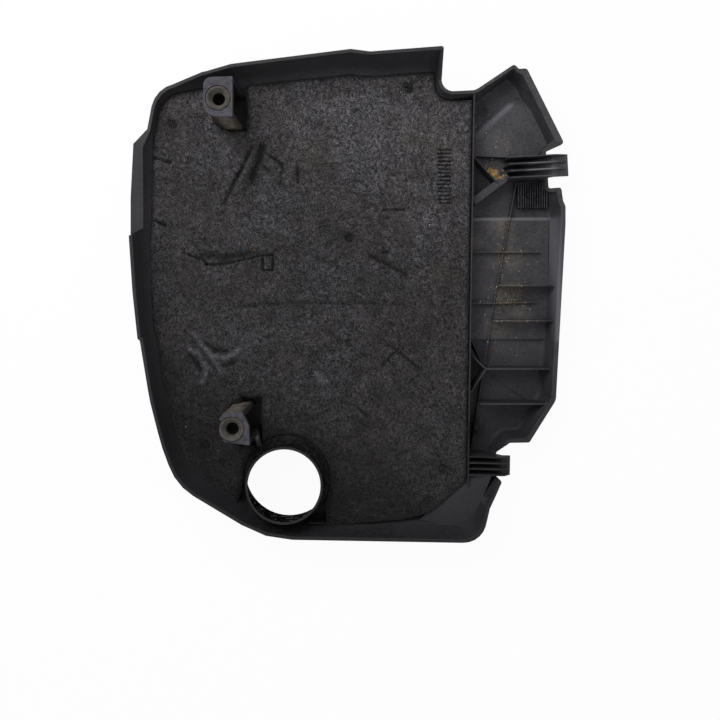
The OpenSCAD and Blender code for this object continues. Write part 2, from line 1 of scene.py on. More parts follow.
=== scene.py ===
"""Engine top cover, lying on its outer face with the underside up.

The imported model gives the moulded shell, the felt pad and two stud grommets. This script rounds the
shell's edges, turns the grommets anew with rounded corners, and replaces the plain felt solid with a
needled pad that has its weld marks, cuts, folds, loose fibres and matted tufts. Lengths are in
millimetres, in the cover's own frame, but for the studio's, which are in metres. Every mesh is built in
metres.
"""

import logging
import math
from collections.abc import Iterable, Mapping, Sequence
from dataclasses import dataclass
from enum import Enum
from typing import Any

import bmesh
import bpy
import numpy as np
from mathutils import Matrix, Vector
from mathutils.bvhtree import BVHTree
from mathutils.geometry import delaunay_2d_cdt
from mathutils.kdtree import KDTree

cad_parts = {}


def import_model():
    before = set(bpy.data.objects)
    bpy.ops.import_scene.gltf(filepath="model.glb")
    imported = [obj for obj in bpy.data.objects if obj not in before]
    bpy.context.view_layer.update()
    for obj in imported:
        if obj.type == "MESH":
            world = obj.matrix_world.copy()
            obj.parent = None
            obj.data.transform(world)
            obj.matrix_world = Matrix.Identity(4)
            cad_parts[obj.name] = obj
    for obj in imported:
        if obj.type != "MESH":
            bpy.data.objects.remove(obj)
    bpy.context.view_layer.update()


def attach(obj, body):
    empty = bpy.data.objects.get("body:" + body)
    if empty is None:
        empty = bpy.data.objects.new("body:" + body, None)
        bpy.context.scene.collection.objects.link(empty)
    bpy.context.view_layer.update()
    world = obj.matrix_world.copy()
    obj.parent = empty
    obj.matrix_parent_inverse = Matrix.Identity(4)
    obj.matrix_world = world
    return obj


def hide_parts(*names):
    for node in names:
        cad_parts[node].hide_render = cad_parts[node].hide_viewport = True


LOG = logging.getLogger("engine_cover")

MM = 0.001
BODY = "root"

# Axes of the two grommets
UPPER_TOWER = (-137.3, 180.6)
LOWER_TOWER = (-124.1, -139.6)

Colour = tuple[float, float, float, float]
Place = tuple[float, float]


def linear(hex_code: str) -> Colour:
    """Turns an sRGB hex colour to linear.

    Args:
        hex_code: The colour as "#rrggbb".

    Returns:
        Red, green, blue and full alpha.
    """
    shares = [int(hex_code[k : k + 2], 16) / 255 for k in (1, 3, 5)]
    red, green, blue = (s / 12.92 if s <= 0.04045 else ((s + 0.055) / 1.055) ** 2.4 for s in shares)
    return (red, green, blue, 1.0)


def per_size(size_mm: float) -> float:
    """Returns the texture scale at which a pattern's features are about this many millimetres."""
    return 1.0 / (size_mm * MM)


def add_node(
    tree: bpy.types.NodeTree, kind: str, inputs: Mapping[str | int, Any] | None = None, **settings: Any
) -> bpy.types.Node:
    """Adds a node with its settings, values and links.

    Args:
        tree: The material or geometry tree.
        kind: Blender's name for the node type.
        inputs: For each input, by name or number, a socket to link or a value.
        **settings: Properties of the node, set before its inputs.

    Returns:
        The new node.
    """
    node = tree.nodes.new(kind)
    for key, value in settings.items():
        setattr(node, key, value)
    for key, value in (inputs or {}).items():
        if isinstance(value, bpy.types.NodeSocket):
            tree.links.new(value, node.inputs[key])
        else:
            node.inputs[key].default_value = value
    return node


def noise_at(points: np.ndarray, size: float, seed: int) -> np.ndarray:
    """Smooth random field over a plane.

    Args:
        points: One row of X and Y per point, in millimetres.
        size: Size of the field's features in millimetres.
        seed: Seed of the random table.

    Returns:
        A value from -1 to 1 for each point.
    """
    cells = 256
    table = np.random.default_rng(seed).uniform(-1, 1, (cells, cells))
    scaled = points / size
    cell = np.floor(scaled).astype(int)
    share = scaled - cell
    share = share * share * (3 - 2 * share)
    i, j = (cell % cells).T
    i2, j2 = ((cell + 1) % cells).T
    low = table[i, j] * (1 - share[:, 0]) + table[i2, j] * share[:, 0]
    high = table[i, j2] * (1 - share[:, 0]) + table[i2, j2] * share[:, 0]
    return low * (1 - share[:, 1]) + high * share[:, 1]


def distance_to_path(points: np.ndarray, path: Sequence[Place]) -> np.ndarray:
    """Distance of each point to the nearest part of an open path.

    Args:
        points: One row of X and Y per point.
        path: The path's corners; a single corner is a spot.

    Returns:
        One distance per point.
    """
    corners = np.array(path, float)
    nearest = np.linalg.norm(points - corners[0], axis=1)
    for start, stop in zip(corners[:-1], corners[1:]):
        along = stop - start
        share = np.clip((points - start) @ along / (along @ along), 0, 1)
        nearest = np.minimum(nearest, np.linalg.norm(points - start - share[:, None] * along, axis=1))
    return nearest


def inside(points: np.ndarray, loop: np.ndarray) -> np.ndarray:
    """Tests which points lie inside a closed outline.

    Args:
        points: One row of X and Y per point.
        loop: The outline's corners in order.

    Returns:
        True for each point inside.
    """
    result = np.zeros(len(points), bool)
    x, y = points.T
    for (x1, y1), (x2, y2) in zip(loop, np.roll(loop, -1, axis=0)):
        if y1 == y2:
            continue
        crosses = ((y1 > y) != (y2 > y)) & (x < (x2 - x1) * (y - y1) / (y2 - y1) + x1)
        result ^= crosses
    return result


@dataclass(frozen=True)
class Stain:
    """A patch where dust or sand lies thicker, or where shade is painted.

    Attributes:
        x: Its centre along X.
        y: Its centre along Y.
        radius: Its radius in millimetres.
        strength: How much it hides at its middle; above 1, more of the patch is fully hidden.
        cling: How much of that holds on a face that would hold none.
    """

    x: float
    y: float
    radius: float
    strength: float
    cling: float = 0.0


@dataclass(frozen=True)
class PaintedHighlight:
    """A straight stretch that is painted pale as a highlight.

    Attributes:
        start: X and Y of one end in millimetres.
        stop: X and Y of the other end.
        width: How far from the middle it fades out.
        strength: How much it hides at its middle, from 0 to 1.
    """

    start: Place
    stop: Place
    width: float
    strength: float


@dataclass(frozen=True)
class Patches:
    """Soft patches of noise, by which a finish is uneven.

    Attributes:
        size_mm: Size of the patches.
        detail: How many finer layers of noise they have.
        roughness: How strong the finer layers are.
        start: Value of the noise where a patch begins.
        full: Value of the noise where it is full.
        low: What the patches give where there is none.
        high: What they give where one is full.
        distortion: How far they are bent.
    """

    size_mm: float
    detail: float
    roughness: float
    start: float
    full: float
    low: float = 0.0
    high: float = 1.0
    distortion: float = 0.0

    def grow(
        self, tree: bpy.types.NodeTree, coords: bpy.types.NodeSocket
    ) -> tuple[bpy.types.NodeSocket, bpy.types.NodeSocket]:
        """Adds the patches to a material.

        Args:
            tree: The material's tree.
            coords: The object coordinates.

        Returns:
            The noise itself, and the value from low to high that it gives.
        """
        noise = add_node(
            tree, "ShaderNodeTexNoise",
            {
                "Vector": coords, "Scale": per_size(self.size_mm), "Detail": self.detail,
                "Roughness": self.roughness, "Distortion": self.distortion,
            },
        ).outputs[0]
        share = add_node(
            tree, "ShaderNodeMapRange",
            {
                "Value": noise, "From Min": self.start, "From Max": self.full, "To Min": self.low,
                "To Max": self.high,
            },
        ).outputs[0]
        return noise, share


# Stains break up into islands of about half a centimetre at their edge
RAGGED_EDGE = Patches(size_mm=5, detail=5, roughness=0.7, start=0.35, full=0.62)


class Part(Enum):
    """Names of material slots, which say what each piece is made of."""

    SHELL = "shell_plastic"
    FELT = "felt"
    RUBBER = "grommet_rubber"


@dataclass(frozen=True)
class Finish:
    """What all finishes share: a name and the start and end of a material's tree."""

    name: str

    def start(self) -> tuple[bpy.types.Material, bpy.types.NodeTree, bpy.types.NodeSocket]:
        """Makes an empty material.

        Returns:
            The material, its tree and the object coordinates.
        """
        material = bpy.data.materials.new(self.name)
        material.use_nodes = True
        tree = material.node_tree
        tree.nodes.clear()
        coords = add_node(tree, "ShaderNodeTexCoord").outputs["Object"]
        return material, tree, coords

    def end(self, tree: bpy.types.NodeTree, values: Mapping[str, Any]) -> None:
        """Ends the tree with its shader.

        Args:
            tree: The material's tree.
            values: The shader's inputs by name.
        """
        shader = add_node(tree, "ShaderNodeBsdfPrincipled", values).outputs[0]
        add_node(tree, "ShaderNodeOutputMaterial", {"Surface": shader})

    def layered(
        self,
        tree: bpy.types.NodeTree,
        ground: bpy.types.NodeSocket | Colour,
        layers: Iterable[tuple[bpy.types.NodeSocket, str]],
    ) -> bpy.types.NodeSocket | Colour:
        """Lays colours over a ground, one after the other.

        Args:
            tree: The material's tree.
            ground: The colour under them all.
            layers: For each layer how much it hides, and its hex colour.

        Returns:
            The colour on top.
        """
        for share, over in layers:
            mixed = add_node(
                tree, "ShaderNodeMix", {0: share, 6: ground, 7: linear(over)}, data_type="RGBA"
            )
            ground = mixed.outputs[2]
        return ground

    def stepped(
        self,
        tree: bpy.types.NodeTree,
        value: bpy.types.NodeSocket,
        start: float,
        steps: Iterable[tuple[float, float, float]],
    ) -> bpy.types.NodeSocket:
        """Makes a ramp of several slopes.

        Args:
            tree: The material's tree.
            value: What the ramp follows.
            start: The ramp's first value.
            steps: For each slope where it starts, where it ends and how much it adds.

        Returns:
            The ramp's value.
        """
        total: bpy.types.NodeSocket | float = start
        for low, high, change in steps:
            slope = add_node(
                tree, "ShaderNodeMapRange",
                {"Value": value, "From Min": low, "From Max": high, "To Min": 0.0, "To Max": change},
            ).outputs[0]
            total = add_node(tree, "ShaderNodeMath", {0: slope, 1: total}, operation="ADD").outputs[0]
        return total

    def painted_highlight_share(
        self, tree: bpy.types.NodeTree, coords: bpy.types.NodeSocket, painted_highlights: Iterable[PaintedHighlight]
    ) -> bpy.types.NodeSocket:
        """Adds up the painted highlights into one share.

        Args:
            tree: The material's tree.
            coords: The object coordinates.
            painted_highlights: The painted highlights, at least one.

        Returns:
            A share from 0 to 1 that fades out to each painted highlight's sides.
        """
        total: bpy.types.NodeSocket | float = 0.0
        for painted_highlight in painted_highlights:
            way = Vector((painted_highlight.stop[0] - painted_highlight.start[0], painted_highlight.stop[1] - painted_highlight.start[1], 0.0)) * MM
            begin = (painted_highlight.start[0] * MM, painted_highlight.start[1] * MM, 0.0)
            offset = add_node(tree, "ShaderNodeVectorMath", {0: coords, 1: begin}, operation="SUBTRACT")
            offset = add_node(
                tree, "ShaderNodeVectorMath",
                {0: offset.outputs[0], 1: (1.0, 1.0, 0.0)},
                operation="MULTIPLY",
            ).outputs[0]
            along = add_node(
                tree, "ShaderNodeVectorMath", {0: offset, 1: way.normalized()}, operation="DOT_PRODUCT"
            ).outputs["Value"]
            held = add_node(
                tree, "ShaderNodeMapRange",
                {
                    "Value": along, "From Min": 0.0, "From Max": way.length, "To Min": 0.0,
                    "To Max": way.length,
                },
            ).outputs[0]
            nearest = add_node(
                tree, "ShaderNodeVectorMath", {0: way.normalized(), 3: held}, operation="SCALE"
            ).outputs[0]
            far = add_node(
                tree, "ShaderNodeVectorMath", {0: offset, 1: nearest}, operation="DISTANCE"
            ).outputs["Value"]
            near = add_node(
                tree, "ShaderNodeMapRange",
                {
                    "Value": far, "From Min": 0.0, "From Max": painted_highlight.width * MM, "To Min": painted_highlight.strength,
                    "To Max": 0.0,
                },
                interpolation_type="SMOOTHSTEP",
            ).outputs[0]
            total = add_node(tree, "ShaderNodeMath", {0: near, 1: total}, operation="MAXIMUM").outputs[0]
        return total

    def stained(
        self,
        tree: bpy.types.NodeTree,
        coords: bpy.types.NodeSocket,
        hold: bpy.types.NodeSocket,
        stains: Iterable[Stain],
    ) -> bpy.types.NodeSocket:
        """Adds up the stains into one share.

        Args:
            tree: The material's tree.
            coords: The object coordinates.
            hold: How well each face holds them, from 0 to 1.
            stains: The stains, at least one.

        Returns:
            A share that is ragged at each stain's edge, where more than 1 counts as 1.
        """
        flat = add_node(
            tree, "ShaderNodeVectorMath", {0: coords, 1: (1.0, 1.0, 0.0)}, operation="MULTIPLY"
        ).outputs[0]
        total: bpy.types.NodeSocket | float = 0.0
        for stain in stains:
            place = (stain.x * MM, stain.y * MM, 0.0)
            far = add_node(tree, "ShaderNodeVectorMath", {0: flat, 1: place}, operation="DISTANCE")
            near = add_node(
                tree, "ShaderNodeMapRange",
                {
                    "Value": far.outputs["Value"], "From Min": 0.0, "From Max": stain.radius * MM,
                    "To Min": stain.strength, "To Max": 0.0,
                },
                interpolation_type="SMOOTHSTEP",
            )
            held = add_node(
                tree, "ShaderNodeMath", {0: hold, 1: stain.cling}, operation="MAXIMUM"
            ).outputs[0]
            spot = add_node(
                tree, "ShaderNodeMath", {0: near.outputs[0], 1: held}, operation="MULTIPLY"
            ).outputs[0]
            total = add_node(tree, "ShaderNodeMath", {0: spot, 1: total}, operation="MAXIMUM").outputs[0]
        _, ragged = RAGGED_EDGE.grow(tree, coords)
        return add_node(tree, "ShaderNodeMath", {0: total, 1: ragged}, operation="MULTIPLY").outputs[0]


# Grey-brown dust: along the wing, and on the two towers
SHELL_STAINS = (
    Stain(152, 62, 20, 0.5),
    Stain(160, 30, 26, 0.45),
    Stain(158, -8, 24, 0.5),
    Stain(170, -30, 20, 0.45),
    Stain(148, -45, 22, 0.45),
    Stain(150, 150, 22, 0.3),
    Stain(121, 46, 15, 0.45),
    Stain(-152, 198, 7, 0.6),
    Stain(-132, 160, 13, 1.7, 1.0),
    Stain(-125, -115, 17, 1.8, 1.0),
    Stain(-108, -158, 5, 0.9),
)

# Sand that has gathered in the pocket beside the back tongue
SHELL_DRIFTS = (
    Stain(141, 121.5, 5, 2.0),
    Stain(145, 118.5, 5, 2.6),
    Stain(148.5, 115, 4.5, 2.6),
    Stain(146.5, 122, 4, 1.8),
)

# Painted shade on the steep faces: the filler's bore, the front skirt and three corners
SHELL_PAINTED_SHADES = (
    Stain(-76, -202, 66, 7.0),
    Stain(10, -262, 75, 1.1),
    Stain(100, -240, 70, 1.0),
    Stain(-150, -220, 60, 0.6),
    Stain(182, 94, 27, 0.8, 1.0),
    Stain(134, 183, 24, 0.6, 1.0),
    Stain(122, -152, 22, 0.8, 1.0),
)

# Painted highlights: ridges, a step, a lit wall and a ramp painted pale
SHELL_PAINTED_HIGHLIGHTS = (
    PaintedHighlight((122.4, 158.6), (160, 191.5), 5.5, 0.85),
    PaintedHighlight((120, 70.4), (203, 71.0), 3.0, 0.85),
    PaintedHighlight((204.5, 68), (206, -56), 6.5, 0.6),
    PaintedHighlight((180, 122), (198, 122), 13.0, 0.9),
)


@dataclass(frozen=True)
class MouldedPlastic(Finish):
    """Black glass-filled nylon, injection moulded.

    The mould's spark-eroded face gives a fine even grain and a matt gloss. A grey film of road dust lies on
    it in clouds, painted thinner towards the front edge where it stands in for light that falls off there,
    and sand-coloured dirt has gathered in a few places. Shade is painted black and dull on the filler's
    bore, the front skirt and a few corners, and highlights are painted pale on some ridges and edges. The
    plates on top of the two towers are rubbed to a pale blue-grey.

    Attributes:
        base: Colour of the bare plastic.
        film: Colour of the dust film.
        plate: Colour of the rubbed plates.
        painted_highlight: Colour of the painted highlights on ridges and edges.
        dirt: Colour of the stains and of single dust grains.
        sand: Colour of the drifts.
        painted_shade: Colour of the shade painted on steep faces.
        dust_from: Upward part of a face's normal from which it holds dust. Steep walls hold a little.
        dust_full: The same from which it holds all of it.
        plate_z: Height from which a face counts as a tower's plate.
        plate_fade: How much higher it is fully rubbed.
        roughness: Roughness under a film of middling thickness.
        shine: Specular level where no shade is painted.
        relief_mm: Depth of the mould's grain.
        clouds: Clouds of a few centimetres in the film.
        mottle: A mottle of a few millimetres inside the clouds.
        wear: How unevenly the plates are rubbed.
        grain: Single dust grains of about half a millimetre, drawn at 0.9 mm so that they show.
        stains: Where dust lies thicker.
        drifts: Where sand lies.
        painted_shades: Where shade is painted on steep faces.
        painted_highlights: Where highlights are painted pale.
    """

    base: str = "#232224"
    film: str = "#525256"
    plate: str = "#4d4c53"
    painted_highlight: str = "#727177"
    dirt: str = "#7c746a"
    sand: str = "#bd9f66"
    painted_shade: str = "#131213"
    dust_from: float = -0.35
    dust_full: float = 0.7
    plate_z: float = 66.0
    plate_fade: float = 3.0
    roughness: float = 0.7
    shine: float = 0.14
    relief_mm: float = 0.2
    clouds: Patches = Patches(34, 7, 0.66, start=0.32, full=0.68, low=0.55, high=1.15, distortion=0.5)
    mottle: Patches = Patches(3.0, 5, 0.8, start=0.34, full=0.66, low=0.45, high=1.5)
    wear: Patches = Patches(6, 5, 0.7, start=0.36, full=0.62, low=0.15, high=1.15)
    grain: Patches = Patches(0.9, 2, 0.5, start=0.66, full=0.74, high=0.5)
    stains: tuple[Stain, ...] = SHELL_STAINS
    drifts: tuple[Stain, ...] = SHELL_DRIFTS
    painted_shades: tuple[Stain, ...] = SHELL_PAINTED_SHADES
    painted_highlights: tuple[PaintedHighlight, ...] = SHELL_PAINTED_HIGHLIGHTS

    def filmed(
        self, tree: bpy.types.NodeTree, coords: bpy.types.NodeSocket, level: bpy.types.NodeSocket
    ) -> bpy.types.NodeSocket:
        """Works out how thick the grey film lies.

        Args:
            tree: The material's tree.
            coords: The object coordinates.
            level: How much each face looks up.

        Returns:
            A share from 0 to 1.
        """
        _, clouded = self.clouds.grow(tree, coords)
        _, mottled = self.mottle.grow(tree, coords)
        # It is painted thinner towards the front, standing in for the light that falls off there, and it
        # thins out on the tall rims, which hands have wiped. Steps are in metres.
        place = add_node(tree, "ShaderNodeSeparateXYZ", {0: coords}).outputs
        back = self.stepped(tree, place["Y"], 0.18, ((-0.17, -0.06, 0.5), (0.09, 0.16, 0.25)))
        wiped = self.stepped(tree, place["Z"], 1.0, ((0.026, 0.040, -0.65),))
        share = level
        for factor in (clouded, mottled, back, wiped):
            share = add_node(
                tree, "ShaderNodeMath", {0: share, 1: factor}, operation="MULTIPLY", use_clamp=True
            ).outputs[0]
        return share

    def build(self) -> bpy.types.Material:
        """Makes the material.

        Returns:
            The material.
        """
        material, tree, coords = self.start()
        normal = add_node(tree, "ShaderNodeNewGeometry").outputs["Normal"]
        facing = add_node(tree, "ShaderNodeSeparateXYZ", {0: normal}).outputs["Z"]
        level = add_node(
            tree, "ShaderNodeMapRange",
            {"Value": facing, "From Min": self.dust_from, "From Max": self.dust_full},
            interpolation_type="SMOOTHSTEP",
        ).outputs[0]
        film = self.filmed(tree, coords, level)
        # The towers' plates are rubbed, so no dirt holds there
        height = add_node(tree, "ShaderNodeSeparateXYZ", {0: coords}).outputs["Z"]
        top = add_node(
            tree, "ShaderNodeMapRange",
            {
                "Value": height, "From Min": self.plate_z * MM,
                "From Max": (self.plate_z + self.plate_fade) * MM,
            },
        ).outputs[0]
        rubbed = add_node(tree, "ShaderNodeMath", {0: top, 1: level}, operation="MULTIPLY").outputs[0]
        _, unevenly = self.wear.grow(tree, coords)
        pale = add_node(
            tree, "ShaderNodeMath", {0: rubbed, 1: unevenly}, operation="MULTIPLY", use_clamp=True
        ).outputs[0]
        below = add_node(tree, "ShaderNodeMath", {0: 1.0, 1: rubbed}, operation="SUBTRACT").outputs[0]
        dirt = self.stained(tree, coords, level, self.stains)
        dirt = add_node(tree, "ShaderNodeMath", {0: dirt, 1: below}, operation="MULTIPLY").outputs[0]
        steep = add_node(tree, "ShaderNodeMath", {0: 1.0, 1: level}, operation="SUBTRACT").outputs[0]
        # Painted shade on steep faces: the filler's bore, the front skirt and a few corners
        painted_shade_share = self.stained(tree, coords, steep, self.painted_shades)
        grain, specks = self.grain.grow(tree, coords)
        specks = add_node(tree, "ShaderNodeMath", {0: specks, 1: film}, operation="MULTIPLY").outputs[0]
        layers = (
            (film, self.film),
            (pale, self.plate),
            # Painted highlights on ridges and edges
            (self.painted_highlight_share(tree, coords, self.painted_highlights), self.painted_highlight),
            (dirt, self.dirt),
            (self.stained(tree, coords, level, self.drifts), self.sand),
            (painted_shade_share, self.painted_shade),
            (specks, self.dirt),
        )
        # Dust is rougher than the plastic, and the painted shade has no gloss at all
        gloss = add_node(
            tree, "ShaderNodeMapRange",
            {"Value": film, "To Min": self.roughness - 0.1, "To Max": self.roughness + 0.14},
        ).outputs[0]
        shine = add_node(
            tree, "ShaderNodeMapRange",
            {"Value": painted_shade_share, "From Max": 0.5, "To Min": self.shine, "To Max": 0.0},
        ).outputs[0]
        bump = add_node(
            tree, "ShaderNodeBump", {"Height": grain, "Strength": 0.5, "Distance": self.relief_mm * MM}
        ).outputs[0]
        values = {
            "Base Color": self.layered(tree, linear(self.base), layers),
            "Roughness": gloss,
            "Normal": bump,
            "IOR": 1.5,
            "Specular IOR Level": shine,
        }
        self.end(tree, values)
        return material


@dataclass(frozen=True)
class NeedledFelt(Finish):
    """Needled polyester felt, made from grey and black waste fibres.

    Single fibres are far too fine to show, so their strands are drawn 0.8 mm wide. The surface is dry and
    matt, painted lighter towards the back right corner as painted light that falls off towards the front
    left, unevenly dusty, and brown where oil mist has reached it.

    Attributes:
        dark: Colour of the darkest fibres, of the pressed welds, and of the shade painted in cuts, folds
            and along the rim.
        middle: Colour of the clumps between the strands.
        light: Colour of the palest strands.
        brown: Colour of the oil mist.
        tuft: Colour of the matted tufts.
        strand_mm: Width of a strand.
        strand_length_mm: Length of a strand.
        strand_turns: Directions of the strands in degrees.
        strand_share: How much of the ground the strands hide.
        bend_mm: Size of the bends in the strands.
        bend_reach_mm: How far the strands are bent.
        relief_mm: Depth of the surface.
        clumps: Clumps of dark fibres.
        oil: Where oil mist has reached the pad.
        dust: How unevenly the dust lies.
    """

    dark: str = "#070606"
    middle: str = "#2e2b2c"
    light: str = "#88868b"
    brown: str = "#40372e"
    tuft: str = "#77757c"
    strand_mm: float = 0.78
    strand_length_mm: float = 6.5
    strand_turns: tuple[float, ...] = (12.0, 57.0, 103.0, 148.0)
    strand_share: float = 0.74
    bend_mm: float = 14.0
    bend_reach_mm: float = 9.0
    relief_mm: float = 1.1
    clumps: Patches = Patches(1.7, 3, 0.65, start=0.34, full=0.64)
    oil: Patches = Patches(48, 6, 0.65, start=0.42, full=0.68, high=0.4)
    dust: Patches = Patches(17, 4, 0.6, start=0.32, full=0.68, low=0.68, high=1.32)

    def strands(self, tree: bpy.types.NodeTree, coords: bpy.types.NodeSocket) -> bpy.types.NodeSocket:
        """Draws matted strands in several directions.

        Args:
            tree: The material's tree.
            coords: The object coordinates.

        Returns:
            A height from 0 to 1 that is high on the strands.
        """
        warp = add_node(
            tree, "ShaderNodeTexNoise", {"Vector": coords, "Scale": per_size(self.bend_mm), "Detail": 2.0}
        ).outputs["Color"]
        reach = self.bend_reach_mm * MM
        bent = add_node(
            tree, "ShaderNodeVectorMath",
            {0: warp, 1: (reach, reach, 0.0), 2: coords},
            operation="MULTIPLY_ADD",
        ).outputs[0]
        across, along = per_size(self.strand_mm), per_size(self.strand_length_mm)
        height: bpy.types.NodeSocket | float = 0.0
        for turn in self.strand_turns:
            laid = add_node(
                tree, "ShaderNodeMapping",
                {
                    "Vector": bent, "Rotation": (0.0, 0.0, math.radians(turn)),
                    "Location": (turn * MM, 0.0, 0.0),
                },
            ).outputs[0]
            drawn = add_node(
                tree, "ShaderNodeVectorMath", {0: laid, 1: (across, along, along)}, operation="MULTIPLY"
            ).outputs[0]
            strand = add_node(
                tree, "ShaderNodeTexNoise", {"Vector": drawn, "Scale": 1.0, "Detail": 1.5}
            ).outputs[0]
            ridge = add_node(
                tree, "ShaderNodeMapRange", {"Value": strand, "From Min": 0.53, "From Max": 0.69}
            ).outputs[0]
            height = add_node(tree, "ShaderNodeMath", {0: ridge, 1: height}, operation="MAXIMUM").outputs[0]
        return height

    def painted_light_and_dust(self, tree: bpy.types.NodeTree, coords: bpy.types.NodeSocket) -> bpy.types.NodeSocket:
        """Works out the painted light that brightens the pad towards its back right corner, times uneven
        dust.

        Args:
            tree: The material's tree.
            coords: The object coordinates.

        Returns:
            A brightness that grows towards the back right corner.
        """
        slant = add_node(
            tree, "ShaderNodeVectorMath", {0: coords, 1: (0.45, 1.0, 0.0)}, operation="DOT_PRODUCT"
        ).outputs["Value"]
        # Painted light that falls off towards the front left: steps in metres along that slant
        slopes = ((-0.215, -0.13, 0.335), (-0.13, 0.05, 0.10), (0.05, 0.18, 0.44))
        grey = self.stepped(tree, slant, 0.14, slopes)
        _, dust_and_painted_light = self.dust.grow(tree, coords)
        return add_node(tree, "ShaderNodeMath", {0: grey, 1: dust_and_painted_light}, operation="MULTIPLY").outputs[0]

    def build(self) -> bpy.types.Material:
        """Makes the material.

        Returns:
            The material.
        """
        material, tree, coords = self.start()
        height = self.strands(tree, coords)
        clump, clumped = self.clumps.grow(tree, coords)
        strand = add_node(
            tree, "ShaderNodeMath", {0: height, 1: self.strand_share}, operation="MULTIPLY"
        ).outputs[0]
        _, oiled = self.oil.grow(tree, coords)
        layers = ((clumped, self.middle), (strand, self.light), (oiled, self.brown))
        clean = self.layered(tree, linear(self.dark), layers)
        # Painted light: the felt's colour is scaled brighter towards the back right corner, and unevenly by
        # dust
        dust_and_painted_light = add_node(
            tree, "ShaderNodeVectorMath", {0: clean, 3: self.painted_light_and_dust(tree, coords)}, operation="SCALE"
        ).outputs[0]
        # Shade painted in cuts, folds, hollows and along the rim, and the darker felt of the welds
        pressed_and_painted_shade = add_node(tree, "ShaderNodeAttribute", attribute_name="pressed_and_painted_shade").outputs["Fac"]
        tufted = add_node(tree, "ShaderNodeAttribute", attribute_name="tufted").outputs["Fac"]
        tuft_share = add_node(
            tree, "ShaderNodeMath", {0: height, 1: 0.75, 2: 0.3}, operation="MULTIPLY_ADD", use_clamp=True
        ).outputs[0]
        matted = add_node(
            tree, "ShaderNodeMath", {0: tufted, 1: tuft_share}, operation="MULTIPLY"
        ).outputs[0]
        both = add_node(
            tree, "ShaderNodeMath", {0: height, 1: 0.5, 2: clump}, operation="MULTIPLY_ADD"
        ).outputs[0]
        bump = add_node(
            tree, "ShaderNodeBump", {"Height": both, "Strength": 0.9, "Distance": self.relief_mm * MM}
        ).outputs[0]
        values = {
            "Base Color": self.layered(tree, dust_and_painted_light, ((pressed_and_painted_shade, self.dark), (matted, self.tuft))),
            "Roughness": 0.95,
            "Normal": bump,
            "Specular IOR Level": 0.12,
            "Sheen Weight": 0.12,
            "Sheen Roughness": 0.5,
        }
        self.end(tree, values)
        return material


@dataclass(frozen=True)
class LooseFibre(Finish):
    """Single polyester fibres that stand out of the felt, from near black to grey by where they grow.

    Attributes:
        dark: Colour of the darkest fibres.
        light: Colour of the lightest ones.
        shades: How the two lie over the felt.
    """

    dark: str = "#1c1b1c"
    light: str = "#5e5d62"
    shades: Patches = Patches(11, 3, 0.5, start=0.38, full=0.68)

    def build(self) -> bpy.types.Material:
        """Makes the material.

        Returns:
            The material.
        """
        material, tree, coords = self.start()
        _, light = self.shades.grow(tree, coords)
        colour = self.layered(tree, linear(self.dark), ((light, self.light),))
        self.end(tree, {"Base Color": colour, "Roughness": 0.8, "Specular IOR Level": 0.2})
        return material


@dataclass(frozen=True)
class StudRubber(Finish):
    """Black EPDM rubber, press moulded, under a dry tan coat of engine dust that a stud's tip has rubbed.

    Attributes:
        rubber: Colour of the bare rubber.
        dust: Colour of its coat.
        pale: Colour of single grains in the coat.
        dusty_z: Height in the bore up to which there is no dust.
        dust_fade: How much higher the coat is full.
        relief_mm: Depth of the coat's grain.
        rubbing: Where the coat is rubbed thin.
        grain: The coat's grains.
    """

    rubber: str = "#100f0e"
    dust: str = "#54514d"
    pale: str = "#67635e"
    dusty_z: float = 65.5
    dust_fade: float = 2.0
    relief_mm: float = 0.2
    rubbing: Patches = Patches(6, 5, 0.7, start=0.3, full=0.6, low=0.35)
    grain: Patches = Patches(1.1, 3, 0.5, start=0.58, full=0.7, high=0.5)

    def build(self) -> bpy.types.Material:
        """Makes the material.

        Returns:
            The material.
        """
        material, tree, coords = self.start()
        normal = add_node(tree, "ShaderNodeNewGeometry").outputs["Normal"]
        facing = add_node(tree, "ShaderNodeSeparateXYZ", {0: normal}).outputs["Z"]
        level = add_node(
            tree, "ShaderNodeMapRange", {"Value": facing, "From Min": 0.0, "From Max": 0.6}
        ).outputs[0]
        _, coated = self.rubbing.grow(tree, coords)
        height = add_node(tree, "ShaderNodeSeparateXYZ", {0: coords}).outputs["Z"]
        open_air = add_node(
            tree, "ShaderNodeMapRange",
            {
                "Value": height, "From Min": self.dusty_z * MM,
                "From Max": (self.dusty_z + self.dust_fade) * MM,
            },
        ).outputs[0]
        dusted = level
        for factor in (coated, open_air):
            dusted = add_node(
                tree, "ShaderNodeMath", {0: dusted, 1: factor}, operation="MULTIPLY"
            ).outputs[0]
        grain, grains = self.grain.grow(tree, coords)
        grains = add_node(tree, "ShaderNodeMath", {0: grains, 1: dusted}, operation="MULTIPLY").outputs[0]
        colour = self.layered(tree, linear(self.rubber), ((dusted, self.dust), (grains, self.pale)))
        bump = add_node(
            tree, "ShaderNodeBump", {"Height": grain, "Strength": 0.5, "Distance": self.relief_mm * MM}
        ).outputs[0]
        self.end(tree, {"Base Color": colour, "Roughness": 0.85, "Normal": bump, "Specular IOR Level": 0.2})
        return material


@dataclass(frozen=True)
class Grit(Finish):
    """Loose mineral dirt, from pale quartz to rusty brown, dull and a little uneven in colour.

    Attributes:
        colour: Colour of most grains.
        other: Colour of the rest.
        shades: How the two are mixed.
    """

    colour: str
    other: str
    shades: Patches = Patches(4, 2, 0.5, start=0.4, full=0.6)

    def build(self) -> bpy.types.Material:
        """Makes the material.

        Returns:
            The material.
        """
        material, tree, coords = self.start()
        _, share = self.shades.grow(tree, coords)
        colour = self.layered(tree, linear(self.colour), ((share, self.other),))
        self.end(tree, {"Base Color": colour, "Roughness": 0.9, "Specular IOR Level": 0.2})
        return material


